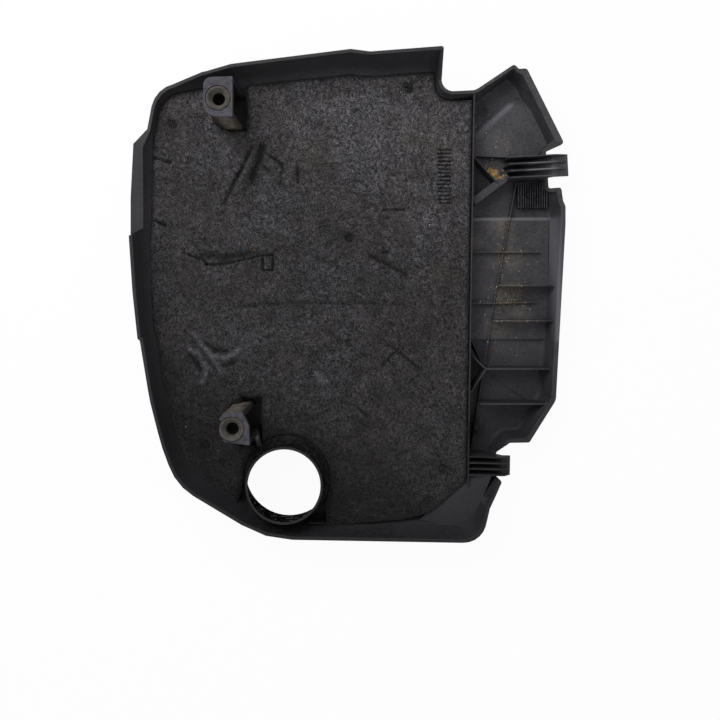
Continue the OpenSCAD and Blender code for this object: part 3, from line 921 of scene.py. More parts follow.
def new_object(name: str, mesh: bpy.types.Mesh) -> bpy.types.Object:
    """Puts a mesh in the scene, at the origin.

    Args:
        name: Name of the piece.
        mesh: Its mesh.

    Returns:
        The piece.
    """
    piece = bpy.data.objects.new(name, mesh)
    bpy.context.scene.collection.objects.link(piece)
    return piece


def baked(piece: bpy.types.Object, name: str) -> bpy.types.Object:
    """Turns a piece with modifiers into a plain mesh.

    Args:
        piece: The piece, which is removed.
        name: Name of the result.

    Returns:
        The plain piece.
    """
    bpy.context.view_layer.update()
    depsgraph = bpy.context.evaluated_depsgraph_get()
    mesh = bpy.data.meshes.new_from_object(piece.evaluated_get(depsgraph), depsgraph=depsgraph)
    piece.modifiers.clear()
    bpy.data.objects.remove(piece)
    mesh.name = name
    return new_object(name, mesh)


def scattered(
    host: bpy.types.Object, tree: bpy.types.GeometryNodeTree, values: Mapping[str, Any], name: str
) -> bpy.types.Object:
    """Runs a geometry tree on a host and keeps the result as a plain mesh.

    Args:
        host: The object that the tree starts from, which is removed.
        tree: The tree.
        values: A value for each named input.
        name: Name of the result.

    Returns:
        The plain piece.
    """
    modifier = host.modifiers.new("scatter", "NODES")
    modifier.node_group = tree
    for item in tree.interface.items_tree:
        if item.in_out == "INPUT" and item.name in values:
            modifier[item.identifier] = values[item.name]
    return baked(host, name)


def finished(
    work: bmesh.types.BMesh, name: str, finish: bpy.types.Material, smooth: bool = True
) -> bpy.types.Object:
    """Turns a closed BMesh into a piece with its finish.

    Args:
        work: The BMesh, which is freed.
        name: Name of the piece.
        finish: Its material.
        smooth: Whether its faces are shaded as one surface.

    Returns:
        The piece.
    """
    bmesh.ops.recalc_face_normals(work, faces=work.faces)
    mesh = bpy.data.meshes.new(name)
    work.to_mesh(mesh)
    work.free()
    mesh.polygons.foreach_set("use_smooth", [smooth] * len(mesh.polygons))
    mesh.materials.append(finish)
    return new_object(name, mesh)


def start_scatter(name: str, numbers: Sequence[str]) -> tuple[bpy.types.GeometryNodeTree, Any]:
    """Starts a geometry tree with named inputs.

    Args:
        name: The tree's name.
        numbers: Names of its sizes and densities.

    Returns:
        The tree, and its inputs by name: Geometry, the numbers, Seed and Finish.
    """
    tree = bpy.data.node_groups.new(name, "GeometryNodeTree")
    kinds = {"Geometry": "Geometry", **dict.fromkeys(numbers, "Float"), "Seed": "Int", "Finish": "Material"}
    for label, kind in kinds.items():
        tree.interface.new_socket(name=label, in_out="INPUT", socket_type=f"NodeSocket{kind}")
    tree.interface.new_socket(name="Geometry", in_out="OUTPUT", socket_type="NodeSocketGeometry")
    return tree, add_node(tree, "NodeGroupInput").outputs


def end_scatter(
    tree: bpy.types.GeometryNodeTree, laid: bpy.types.NodeSocket, finish: bpy.types.NodeSocket
) -> None:
    """Ends a geometry tree with real meshes in their finish.

    Args:
        tree: The tree.
        laid: The instances.
        finish: The material.
    """
    real = add_node(tree, "GeometryNodeRealizeInstances", {0: laid}).outputs[0]
    dressed = add_node(tree, "GeometryNodeSetMaterial", {"Geometry": real, "Material": finish}).outputs[0]
    add_node(tree, "NodeGroupOutput", {0: dressed})


@dataclass
class RoundedCopy:
    """A CAD node's merged copy with small rounded edges.

    Attributes:
        node: Name of the CAD node.
        name: Name of the piece.
        slot: Its material slot; not used.
        radius: Radius of the edges in millimetres.
        angle: Edges that turn more than this many degrees are rounded, where they lie clear of others.
        merge: Corners closer than this many millimetres become one.
        flat: Faces that turn less than this many degrees become one.
        clearance: How far apart two edges have to lie, as a share of the rounding's full width.
        chain: Edges this many steps along from an edge don't crowd it.
    """

    node: str
    name: str
    slot: Part
    radius: float = 0.3
    angle: float = 38.0
    merge: float = 0.02
    flat: float = 0.4
    clearance: float = 1.15
    chain: int = 3

    def copy(self) -> bpy.types.Mesh:
        """Merges the node's loose triangles.

        Returns:
            A new mesh, with the edges to round marked.
        """
        work = bmesh.new()
        work.from_mesh(bpy.data.objects[self.node].data)
        bmesh.ops.remove_doubles(work, verts=work.verts, dist=self.merge * MM)
        bmesh.ops.dissolve_degenerate(work, edges=work.edges, dist=self.merge * MM)
        flat = math.radians(self.flat)
        bmesh.ops.dissolve_limit(
            work, angle_limit=flat, verts=work.verts, edges=work.edges, delimit={"NORMAL"}
        )
        self.weigh(work)
        mesh = bpy.data.meshes.new(self.name)
        work.to_mesh(mesh)
        work.free()
        mesh.materials.clear()
        return mesh

    def weigh(self, work: bmesh.types.BMesh) -> None:
        """Picks the edges to round: those that turn enough and lie clear of others.

        Args:
            work: The merged mesh, which gets a bevel weight on each picked edge.
        """
        weights = work.edges.layers.float.new("bevel_weight_edge")
        sharp = [
            e for e in work.edges if e.is_manifold and e.calc_face_angle() > math.radians(self.angle)
        ]
        step = self.radius * 2 * MM
        samples: list[tuple[Vector, int]] = []
        for k, edge in enumerate(sharp):
            start, stop = (v.co for v in edge.verts)
            count = max(1, int(edge.calc_length() / step))
            samples += [(start.lerp(stop, j / count), k) for j in range(count + 1)]
        tree = KDTree(len(samples))
        for k, (place, _) in enumerate(samples):
            tree.insert(place, k)
        tree.balance()
        chosen = set(sharp)
        crowded = [False] * len(sharp)
        joined: list[set[bmesh.types.BMEdge]] = []
        for edge in sharp:
            chain = {edge}
            for _ in range(self.chain):
                chain |= {n for e in chain for v in e.verts for n in v.link_edges if n in chosen}
            joined.append(chain)
        for place, k in samples:
            if not crowded[k]:
                near = {samples[i][1] for _, i, _ in tree.find_range(place, step * self.clearance)}
                crowded[k] = any(sharp[other] not in joined[k] for other in near)
        plain = {edge for k, chain in enumerate(joined) if crowded[k] for edge in chain}
        for edge in chosen - plain:
            edge[weights] = 1.0
        LOG.info("%s: %d edges rounded, %d left sharp", self.name, len(chosen - plain), len(plain))

    def build(self, finishes: Sequence[bpy.types.Material]) -> bpy.types.Object:
        """Makes the piece in place of its node.

        Args:
            finishes: The finish, and the one of the rounded edges if that differs.

        Returns:
            The finished piece.
        """
        piece = new_object(self.name, self.copy())
        for finish in finishes:
            piece.data.materials.append(finish)
        piece.data.polygons.foreach_set("use_smooth", [True] * len(piece.data.polygons))
        piece.data.set_sharp_from_angle(angle=math.radians(self.angle))
        bevel = piece.modifiers.new("edges", "BEVEL")
        bevel.limit_method = "WEIGHT"
        bevel.width = self.radius * MM
        bevel.segments = 2
        bevel.use_clamp_overlap = False
        bevel.material = len(finishes) - 1
        weighted = piece.modifiers.new("shading", "WEIGHTED_NORMAL")
        weighted.keep_sharp = True
        piece = baked(piece, self.name)
        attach(piece, BODY)
        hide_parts(self.node)
        return piece


@dataclass
class StudGrommet:
    """A moulded grommet, turned about its own upright axis, that a ball stud snaps into.

    Attributes:
        side: Which tower it hangs in.
        centre: Its axis in millimetres.
        face_z: Height of its free face.
        radius: Radius of its two flanges.
        neck_radius: Radius of the groove between them.
        socket_radius: Radius of the stud's bore.
        socket_length: Length of the bore.
        funnel: Depth of the funnel that leads into the bore.
        flange: Thickness of the outer flange.
        plate: Thickness of the tower's plate.
        bead: Thickness of the inner flange.
        base: Rubber below the bore.
        play: Room between the tower's plate and the groove.
        mouth_inset: How far inside the rim the funnel starts.
        crest_inset: How far inside the rim the face is highest.
        mouth_drop: How far the funnel's start lies under the crest.
        rim_drop: How far the rim lies under the crest.
        bead_taper: How far the inner flange narrows.
        bead_slope: Height of the part that narrows.
        round_radius: Radius of its rounded corners.
        segments: Flats around it.
    """

    side: str
    centre: Place
    face_z: float = 72.0
    radius: float = 12.0
    neck_radius: float = 9.8
    socket_radius: float = 6.0
    socket_length: float = 12.0
    funnel: float = 5.0
    flange: float = 2.7
    plate: float = 6.0
    bead: float = 5.0
    base: float = 1.4
    play: float = 0.2
    mouth_inset: float = 2.2
    crest_inset: float = 1.2
    mouth_drop: float = 0.4
    rim_drop: float = 0.8
    bead_taper: float = 2.5
    bead_slope: float = 1.5
    round_radius: float = 0.4
    segments: int = 96

    def section(self) -> list[Place]:
        """Works out the section that is turned.

        Returns:
            Radius and height of its corners, from the bore's floor to the foot.
        """
        floor = -self.funnel - self.socket_length
        groove = -self.plate - self.play
        return [
            (0.0, floor),
            (self.socket_radius, floor),
            (self.socket_radius, -self.funnel),
            (self.radius - self.mouth_inset, -self.mouth_drop),
            (self.radius - self.crest_inset, 0.0),
            (self.radius, -self.rim_drop),
            (self.radius, -self.flange),
            (self.neck_radius, -self.flange),
            (self.neck_radius, groove),
            (self.radius, groove),
            (self.radius, groove - self.bead + self.bead_slope),
            (self.radius - self.bead_taper, floor - self.base),
            (0.0, floor - self.base),
        ]

    def rounded(self) -> list[Place]:
        """Rounds the section's corners.

        Returns:
            Radius and height of its points.
        """
        corners = [Vector(p) for p in self.section()]
        points = [corners[0]]
        for before, corner, after in zip(corners[:-2], corners[1:-1], corners[2:]):
            back, ahead = before - corner, after - corner
            # Two corners on one side never meet
            reach = min(self.round_radius, back.length * 0.45, ahead.length * 0.45)
            start, stop = corner + back.normalized() * reach, corner + ahead.normalized() * reach
            for share in (0.0, 0.33, 0.67, 1.0):
                first, last = start.lerp(corner, share), corner.lerp(stop, share)
                points.append(first.lerp(last, share))
        points.append(corners[-1])
        return [(p.x, p.y) for p in points]

    def build(self, finish: bpy.types.Material) -> bpy.types.Object:
        """Turns the grommet in place of its node.

        Args:
            finish: The rubber.

        Returns:
            The finished grommet.
        """
        work = bmesh.new()
        x, y = self.centre
        rows: list[list[bmesh.types.BMVert]] = []
        for radius, height in self.rounded():
            count = self.segments if radius > 0 else 1
            row = []
            for k in range(count):
                turn = math.tau * k / self.segments
                place = (x + radius * math.cos(turn), y + radius * math.sin(turn), self.face_z + height)
                row.append(work.verts.new([c * MM for c in place]))
            rows.append(row)
        for low, high in zip(rows[:-1], rows[1:]):
            for k in range(self.segments):
                ahead = (k + 1) % self.segments
                near = [low[k % len(low)], low[ahead % len(low)]]
                far = [high[ahead % len(high)], high[k % len(high)]]
                # Where a row is one point, the face has three corners
                work.faces.new(list(dict.fromkeys(near + far)))
        piece = finished(work, f"stud_grommet_{self.side}", finish)
        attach(piece, BODY)
        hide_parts(f"grommet_{self.side}")
        return piece


@dataclass
class SlotRim:
    """The thin rim of the upper tower's plate that closes its slot round the grommet.

    Attributes:
        centre: The grommet's axis in millimetres.
        inner_radius: Radius of the plate's recess.
        left: How far the tower's left face lies from the axis.
        corner_radius: Radius of the tower's front left corner.
        corner_from: Where along Y that corner starts, from the axis.
        half_slot: Half of the slot's width.
        low_z: Height of the rim's lower side.
        high_z: Height of its free side.
        steps: Parts that its length is divided into.
    """

    centre: Place
    inner_radius: float = 12.45
    left: float = 14.1
    corner_radius: float = 15.0
    corner_from: float = -3.1
    half_slot: float = 8.8
    low_z: float = 66.1
    high_z: float = 71.97
    steps: int = 14

    def face_x(self, y: float) -> float:
        """Works out where the tower's left face is.

        Args:
            y: Y from the axis.

        Returns:
            X from the axis.
        """
        if y > self.corner_from:
            return -self.left
        off = self.corner_from - y
        return -self.left + self.corner_radius - math.sqrt(self.corner_radius**2 - off**2)

    def build(self, finish: bpy.types.Material) -> bpy.types.Object:
        """Makes the rim.

        Args:
            finish: The shell's plastic.

        Returns:
            The finished rim.
        """
        work = bmesh.new()
        rows: list[list[bmesh.types.BMVert]] = []
        for k in range(self.steps + 1):
            y = self.half_slot * (1 - 2 * k / self.steps)
            outer = self.face_x(y)
            inner = -math.sqrt(self.inner_radius**2 - y**2)
            row = []
            for x, z in (
                (outer, self.low_z), (outer, self.high_z), (inner, self.high_z), (inner, self.low_z)
            ):
                place = (self.centre[0] + x, self.centre[1] + y, z)
                row.append(work.verts.new([c * MM for c in place]))
            rows.append(row)
        for near, far in zip(rows[:-1], rows[1:]):
            for k, corner in enumerate(near):
                ahead = (k + 1) % len(near)
                work.faces.new((corner, near[ahead], far[ahead], far[k]))
        work.faces.new(rows[0])
        work.faces.new(rows[-1])
        piece = finished(work, "slot_rim", finish, smooth=False)
        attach(piece, BODY)
        return piece


class MarkKind(Enum):
    """Ways in which the felt's surface is marked."""

    CUT = "cut"
    FOLD = "fold"
    RIDGE = "ridge"
    TUFT = "tuft"


@dataclass(frozen=True)
class FeltMark:
    """One mark along a path on the felt.

    Attributes:
        kind: What the mark is.
        path: Corners of its path in millimetres.
        width: Half of its width in millimetres.
        height: Depth of a cut or fold, or height of a ridge or tuft.
        shade: How dark its ground is painted as shade, from 0 to 1.
    """

    kind: MarkKind
    path: tuple[Place, ...]
    width: float
    height: float
    shade: float = 0.6


def ladder_marks() -> tuple[FeltMark, ...]:
    """Lays out the row of short cuts beside the divider.

    Returns:
        The cuts, one under the other.
    """
    count, pitch, left, right, first = 15, 3.95, 81.5, 94.0, 140.2
    marks = []
    for k in range(count):
        y = first - pitch * k
        marks.append(FeltMark(MarkKind.CUT, ((left, y), (right, y)), 0.95, 1.4, 0.85))
    return tuple(marks)


FELT_MARKS = (
    # Short slits along the left edge
    FeltMark(MarkKind.CUT, ((-212.9, 132.4), (-205, 129.5), (-197.5, 127.3)), 1.5, 1.8, 0.95),
    FeltMark(MarkKind.CUT, ((-211.5, 66.5), (-202.5, 62.3)), 1.7, 1.8, 0.95),
    # Long sagging fold with a slit under it, and a stamped window at its end
    FeltMark(MarkKind.CUT, ((-177.9, 31.2), (-162.7, 26), (-159.7, 21.3)), 1.4, 1.8, 0.9),
    FeltMark(
        MarkKind.CUT,
        ((-159.7, 21.3), (-144.4, 21.3), (-113.9, 27.4), (-103.2, 30.4)),
        1.3, 1.9, 0.8,
    ),
    FeltMark(MarkKind.FOLD, ((-163, 31), (-140, 28.5), (-108, 34)), 4.4, 1.6, 0.55),
    FeltMark(
        MarkKind.CUT,
        ((-101, 31), (-90.6, 31), (-90.6, 15.2), (-101, 15.2), (-101, 31)),
        1.25, 1.7, 0.9,
    ),
    FeltMark(MarkKind.FOLD, ((-100, 31), (-91, 31)), 2.2, 0.9, 0.6),
    FeltMark(MarkKind.CUT, ((23.9, 77.9), (34, 78.6), (45.7, 77.9)), 1.0, 1.2, 0.8),
    # Folds to the right of the middle
    FeltMark(MarkKind.FOLD, ((11.4, 30.1), (47.8, 11.4)), 2.6, 1.6, 0.6),
    FeltMark(MarkKind.CUT, ((24.5, 33.8), (29.5, 33.8)), 1.2, 1.2, 0.8),
    FeltMark(
        MarkKind.FOLD,
        ((-128.8, -23.4), (-93.5, -19.3), (-31.2, -18.7), (42, -19.6)),
        2.0, 1.3, 0.4,
    ),
    # Print of the bracket that the pad was pressed against
    FeltMark(MarkKind.CUT, ((-111.7, 144), (-127, 113)), 1.9, 2.0, 0.85),
    FeltMark(MarkKind.FOLD, ((-127, 113), (-141.3, 84.1)), 2.4, 1.4, 0.6),
    FeltMark(MarkKind.RIDGE, ((-108.3, 140), (-125, 106)), 1.6, 1.2),
    FeltMark(MarkKind.FOLD, ((-101.8, 142.8), (-106.5, 127), (-112.2, 110.1)), 5.4, 2.4, 0.8),
    FeltMark(MarkKind.FOLD, ((-112.2, 110.1), (-120.5, 96.6)), 3.0, 1.2, 0.5),
    FeltMark(MarkKind.CUT, ((-95.6, 135.7), (-80.4, 125)), 1.5, 1.6, 0.85),
    FeltMark(MarkKind.FOLD, ((-80.4, 125), (-83.5, 101.8)), 2.3, 1.2, 0.55),
    FeltMark(MarkKind.CUT, ((-99.7, 123.6), (-94.5, 117.4)), 1.4, 1.2, 0.75),
    FeltMark(MarkKind.FOLD, ((-65.1, 121.9), (-64.4, 108)), 2.2, 1.4, 0.7),
    FeltMark(MarkKind.FOLD, ((-120.1, 73.1), (-113.9, 70.8)), 1.8, 1.0, 0.6),
    # Crossed creases and a pinched ridge below the middle
    FeltMark(MarkKind.FOLD, ((23.9, -82.1), (39.5, -66.5)), 1.7, 1.2, 0.6),
    FeltMark(MarkKind.FOLD, ((30, -62), (63.4, -88.3)), 1.7, 1.2, 0.6),
    FeltMark(MarkKind.RIDGE, ((-17.7, -117.4), (-4, -122), (11.4, -133)), 1.8, 1.4),
    FeltMark(MarkKind.FOLD, ((-18.5, -120.5), (-5, -125.3), (9, -136)), 1.8, 1.0, 0.5),
    # Matted tuft pulled out of the pad, with hollows beside it that are painted dark as its shadows
    FeltMark(MarkKind.FOLD, ((-161, -60.5), (-149.6, -68), (-139, -69.4)), 2.6, 1.6, 0.75),
    FeltMark(MarkKind.FOLD, ((-176.5, -72.7), (-169.3, -79.9), (-165.5, -88)), 2.6, 1.6, 0.8),
    FeltMark(MarkKind.FOLD, ((-142.3, -85.1), (-130, -79.9)), 2.5, 1.4, 0.7),
    FeltMark(
        MarkKind.TUFT,
        (
            (-173, -50.3), (-165.2, -58.7), (-160, -67.5), (-153.3, -73.7),
            (-141.4, -76.1), (-133.5, -72.9), (-123.9, -67),
        ),
        2.3, 2.2,
    ),
    FeltMark(
        MarkKind.TUFT,
        (
            (-175.5, -66.5), (-168.3, -71.7), (-162, -80),
            (-157.9, -86.2), (-160, -95.6), (-163.7, -100.8),
        ),
        2.4, 2.2,
    ),
    FeltMark(MarkKind.TUFT, ((-153.7, -75.8), (-147, -82.1), (-145.4, -89.3)), 2.2, 1.8),
    FeltMark(MarkKind.TUFT, ((-45, -93), (-41, -98), (-36, -101)), 2.8, 1.3),
    # Small dusty spots
    FeltMark(MarkKind.TUFT, ((-141, 140), (-138, 141)), 4.0, 0.4),
    FeltMark(MarkKind.TUFT, ((-102, 92), (-98, 90)), 3.2, 0.5),
    FeltMark(MarkKind.TUFT, ((-98, 111), (-96, 109)), 2.2, 0.5),
    FeltMark(MarkKind.TUFT, ((-49, 163), (-46, 161)), 3.0, 0.3),
    *ladder_marks(),
)


@dataclass
class AcousticFelt:
    """The needled felt pad with its weld marks, cuts, folds and tufts.

    Its sides and bottom are the CAD solid's own, and its free face is a fine mesh inside the same outline.

    Attributes:
        name: Name of the piece.
        node: Name of the CAD node that it replaces.
        top: Height of the flat free face.
        spacing: Distance between the free face's points.
        fine_spacing: The same at cuts and welds.
        fine_reach: How far from a cut or weld the points are that close.
        edge_step: Longest edge in the rim.
        edge_clear: How far inner points stay from the rim.
        edge_drop: How far the face drops at the rim.
        edge_reach: How far from the rim it starts to drop.
        edge_painted_shade: How dark the rim is painted as shade from the shell's wall beside it, from 0 to
            1.
        edge_painted_shade_reach: Width of that painted shade.
        cut_reach: How far from its middle a cut ends, as a share of its width.
        fold_shade: How much darker a fold is than its mark says.
        tuft_relief: Height of a tuft's own unevenness.
        tuft_share: How much of a tuft is covered with matted fibres.
        waver: How far a mark's line wavers.
        wear: How unevenly dark a mark is, from 0 to 1.
        jitter: How far points are moved at random, as a share of their distance.
        seed: Seed of that.
        lumps: Height, size and seed of each scale of the face's unevenness.
        weld_radius: Radius of a weld mark.
        weld_depth: How deep it is sunk.
        weld_foot: How far past the radius its slope starts.
        weld_slope: Width of its slope.
        weld_pitch: Pitch of the lattice that the welding horn prints.
        weld_relief: Height of the lattice.
        weld_halo: Reach of the darker felt round a weld.
        weld_halo_shade: How dark that is at the weld, from 0 to 1.
        dimple_radius: Radius within which the CAD solid's own dimples lie.
        dimple_floor: Height over which their faces lie.
        merge: Corners of the CAD solid closer than this become one.
        welds: Places of the weld marks.
        marks: All the other marks.
    """

    name: str = "felt_pad"
    node: str = "acoustic_felt"
    top: float = 26.0
    spacing: float = 1.55
    fine_spacing: float = 0.62
    fine_reach: float = 2.4
    edge_step: float = 3.0
    edge_clear: float = 0.5
    edge_drop: float = 1.3
    edge_reach: float = 1.6
    edge_painted_shade: float = 0.8
    edge_painted_shade_reach: float = 2.6
    cut_reach: float = 1.7
    fold_shade: float = 1.4
    tuft_relief: float = 0.9
    tuft_share: float = 1.3
    waver: float = 0.5
    wear: float = 0.3
    jitter: float = 0.28
    seed: int = 11
    lumps: tuple[tuple[float, float, int], ...] = (
        (0.7, 46, 3),
        (0.4, 15, 4),
        (0.28, 5.5, 5),
        (0.16, 2.3, 6),
    )
    weld_radius: float = 5.0
    weld_depth: float = 2.7
    weld_foot: float = 1.6
    weld_slope: float = 2.4
    weld_pitch: float = 3.0
    weld_relief: float = 0.6
    weld_halo: float = 8.5
    weld_halo_shade: float = 0.42
    dimple_radius: float = 5.3
    dimple_floor: float = 15.0
    merge: float = 0.001
    welds: tuple[Place, ...] = ((-195, 167), (51, 205), (-11.5, 49), (-160, -165.5), (86, -191))
    marks: tuple[FeltMark, ...] = FELT_MARKS

    def heights(self, points: np.ndarray, edge: np.ndarray) -> tuple[np.ndarray, np.ndarray, np.ndarray]:
        """Works out the free face.

        Args:
            points: X and Y of each point in millimetres.
            edge: Distance of each point to the outline.

        Returns:
            Height over the flat face, how dark each point is pressed or painted as shade, and how much it
            is tufted.
        """
        high = sum(height * noise_at(points, size, seed) for height, size, seed in self.lumps)
        tufted = np.zeros(len(points))
        # Painted shade: the felt is darkened along its rim, where the shell's wall shades it
        pressed_and_painted_shade = self.edge_painted_shade * np.exp(-((edge / self.edge_painted_shade_reach) ** 2))
        broken = 1.0 + self.wear * noise_at(points, 8, 9)
        for mark in self.marks:
            far = distance_to_path(points, mark.path) + self.waver * noise_at(points, 3.0, 7)
            bell = np.exp(-((far / mark.width) ** 2))
            if mark.kind is MarkKind.CUT:
                # A cut's slit is painted dark as its shade
                sharp = np.clip(self.cut_reach - far / mark.width, 0, 1)
                high -= mark.height * sharp
                pressed_and_painted_shade = np.maximum(pressed_and_painted_shade, mark.shade * sharp * broken)
            elif mark.kind is MarkKind.FOLD:
                # A fold's hollow is painted dark as its shade
                high -= mark.height * bell
                dark = np.clip(self.fold_shade * mark.shade * bell * broken, 0, 0.95)
                pressed_and_painted_shade = np.maximum(pressed_and_painted_shade, dark)
            else:
                high += mark.height * bell
            if mark.kind is MarkKind.TUFT:
                high += self.tuft_relief * bell * noise_at(points, 1.8, 8)
                tufted = np.maximum(tufted, np.clip(self.tuft_share * bell, 0, 1))
                pressed_and_painted_shade *= 1 - bell
        # The welding horn's lattice lies at 37 degrees to the cover
        across = np.array([[0.8, -0.6], [0.6, 0.8]])
        for place in self.welds:
            local = points - np.array(place)
            far = np.linalg.norm(local, axis=1)
            sunk = np.clip((self.weld_radius + self.weld_foot - far) / self.weld_slope, 0, 1)
            lattice = np.prod(np.sin(local @ across * math.tau / self.weld_pitch), axis=1)
            high = high * (1 - sunk) - sunk * (self.weld_depth - self.weld_relief * lattice)
            pressed_and_painted_shade = np.maximum(pressed_and_painted_shade, sunk * (1 - 0.85 * np.clip(1.6 * lattice, 0, 1)))
            pressed_and_painted_shade = np.maximum(pressed_and_painted_shade, self.weld_halo_shade * np.exp(-((far / self.weld_halo) ** 2)))
        high -= self.edge_drop * np.exp(-edge / self.edge_reach)
        return high, np.clip(pressed_and_painted_shade, 0, 1), tufted

    def open_solid(self) -> bmesh.types.BMesh:
        """Takes the free face off the CAD solid and divides the rim.

        Returns:
            The open mesh, in metres.
        """
        work = bmesh.new()
        work.from_mesh(bpy.data.objects[self.node].data)
        bmesh.ops.remove_doubles(work, verts=work.verts, dist=self.merge * MM)
        free = (self.top - 0.01) * MM
        doomed = []
        for face in work.faces:
            if all(v.co.z > free for v in face.verts):
                doomed.append(face)
                continue
            for x, y in self.welds:
                offsets = [math.hypot(v.co.x - x * MM, v.co.y - y * MM) for v in face.verts]
                near = max(offsets) < self.dimple_radius * MM
                if near and all(v.co.z > self.dimple_floor * MM for v in face.verts):
                    doomed.append(face)
                    break
        bmesh.ops.delete(work, geom=doomed, context="FACES")
        for edge in [e for e in work.edges if len(e.link_faces) == 1]:
            cuts = int(edge.calc_length() / (self.edge_step * MM))
            if cuts:
                bmesh.ops.subdivide_edges(work, edges=[edge], cuts=cuts)
        return work

    def rims(self, work: bmesh.types.BMesh) -> list[list[bmesh.types.BMVert]]:
        """Finds the open mesh's rims.

        Args:
            work: The open mesh.

        Returns:
            The rims as closed rows of corners, the longest first.
        """
        left = {e for e in work.edges if len(e.link_faces) == 1}
        loops = []
        while left:
            edge = left.pop()
            loop = [edge.verts[0], edge.verts[1]]
            while True:
                step = next((e for e in loop[-1].link_edges if e in left), None)
                if step is None:
                    break
                left.remove(step)
                loop.append(step.other_vert(loop[-1]))
            loops.append(loop[:-1] if loop[-1] is loop[0] else loop)
        return sorted(loops, key=len, reverse=True)

    def grid(self, loops: Sequence[np.ndarray]) -> np.ndarray:
        """Lays out the free face's inner points.

        Args:
            loops: The outline and the holes in it, in millimetres.

        Returns:
            X and Y of each point, closer together at cuts and welds.
        """
        rng = np.random.default_rng(self.seed)
        low, high = loops[0].min(0), loops[0].max(0)
        layers = []
        for step, fine in ((self.spacing, False), (self.fine_spacing, True)):
            x, y = np.meshgrid(np.arange(low[0], high[0], step), np.arange(low[1], high[1], step))
            points = np.stack([x.ravel(), y.ravel()], axis=1)
            points += rng.uniform(-self.jitter, self.jitter, points.shape) * step
            near = np.zeros(len(points), bool)
            for mark in self.marks:
                if mark.kind is MarkKind.CUT:
                    near |= distance_to_path(points, mark.path) < self.fine_reach
            for place in self.welds:
                far = np.linalg.norm(points - np.array(place), axis=1)
                near |= far < self.weld_radius + self.fine_reach
            layers.append(points[near] if fine else points[~near])
        points = np.vstack(layers)
        keep = inside(points, loops[0])
        for hole in loops[1:]:
            keep &= ~inside(points, hole)
        return points[keep]

    def edge_distance(self, loops: Sequence[np.ndarray], points: np.ndarray) -> np.ndarray:
        """Measures how far points lie from the rims.

        Args:
            loops: The outline and the holes in it, in millimetres.
            points: One row of X and Y per point.

        Returns:
            One distance per point.
        """
        shares = (0.0, 0.25, 0.5, 0.75)
        tree = KDTree(sum(len(loop) for loop in loops) * len(shares))
        count = 0
        for loop in loops:
            ahead = np.roll(loop, -1, axis=0)
            for share in shares:
                for x, y in loop * (1 - share) + ahead * share:
                    tree.insert((x, y, 0.0), count)
                    count += 1
        tree.balance()
        return np.array([tree.find((x, y, 0.0))[2] for x, y in points])

    def triangles(
        self, loops: Sequence[np.ndarray], inner: np.ndarray
    ) -> tuple[np.ndarray, np.ndarray, list[int]]:
        """Joins the rims and the inner points.

        Args:
            loops: The outline and the holes in it, in millimetres.
            inner: X and Y of the inner points.

        Returns:
            X and Y of each corner, three corners for each triangle, and for each corner the number of the
            rim or inner point that it comes from, or -1.
        """
        corners = [Vector(p) for p in np.vstack(loops)] + [Vector(p) for p in inner]
        edges, start = [], 0
        for loop in loops:
            edges += [(start + k, start + (k + 1) % len(loop)) for k in range(len(loop))]
            start += len(loop)
        flat, _, faces, origin, _, _ = delaunay_2d_cdt(corners, edges, [], 1, 1e-6)
        plane = np.array([tuple(p) for p in flat])
        triangles = np.array(faces)
        middle = plane[triangles].mean(axis=1)
        keep = np.ones(len(triangles), bool)
        for hole in loops[1:]:
            keep &= ~inside(middle, hole)
        return plane, triangles[keep], [min(names) if names else -1 for names in origin]

    def build(self, finish: bpy.types.Material) -> bpy.types.Object:
        """Makes the pad in place of its node.

        Args:
            finish: The felt's material.

        Returns:
            The finished pad.
        """
        work = self.open_solid()
        rims = self.rims(work)
        loops = [np.array([(v.co.x, v.co.y) for v in rim]) / MM for rim in rims]
        inner = self.grid(loops)
        edge = self.edge_distance(loops, inner)
        clear = edge > self.edge_clear
        inner, edge = inner[clear], edge[clear]
        plane, triangles, sources = self.triangles(loops, inner)
        # Corners on a rim are the open mesh's own, and the others are new
        rim_verts = [v for rim in rims for v in rim]
        owner: list[bmesh.types.BMVert | None] = [None] * len(plane)
        every_edge = np.zeros(len(plane))
        for k, source in enumerate(sources):
            if source >= len(rim_verts):
                every_edge[k] = edge[source - len(rim_verts)]
            elif source >= 0:
                owner[k] = rim_verts[source]
        high, pressed_and_painted_shade, tufted = self.heights(plane, every_edge)
        for k, vert in enumerate(owner):
            z = (self.top + high[k]) * MM
            if vert is None:
                owner[k] = work.verts.new((plane[k, 0] * MM, plane[k, 1] * MM, z))
            else:
                vert.co.z = min(z, self.top * MM)
        for a, b, c in triangles:
            work.faces.new((owner[a], owner[b], owner[c]))
        work.verts.index_update()
        order = [vert.index for vert in owner]
        open_edges = sum(1 for e in work.edges if len(e.link_faces) != 2)
        piece = finished(work, self.name, finish)
        for label, values in (("pressed_and_painted_shade", pressed_and_painted_shade), ("tufted", tufted)):
            row = np.zeros(len(piece.data.vertices), np.float32)
            row[order] = values
            piece.data.attributes.new(label, "FLOAT", "POINT").data.foreach_set("value", row)
        piece.data.set_sharp_from_angle(angle=math.radians(60))
        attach(piece, BODY)
        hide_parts(self.node)
        LOG.info("%s has %d open edges", self.name, open_edges)
        return piece


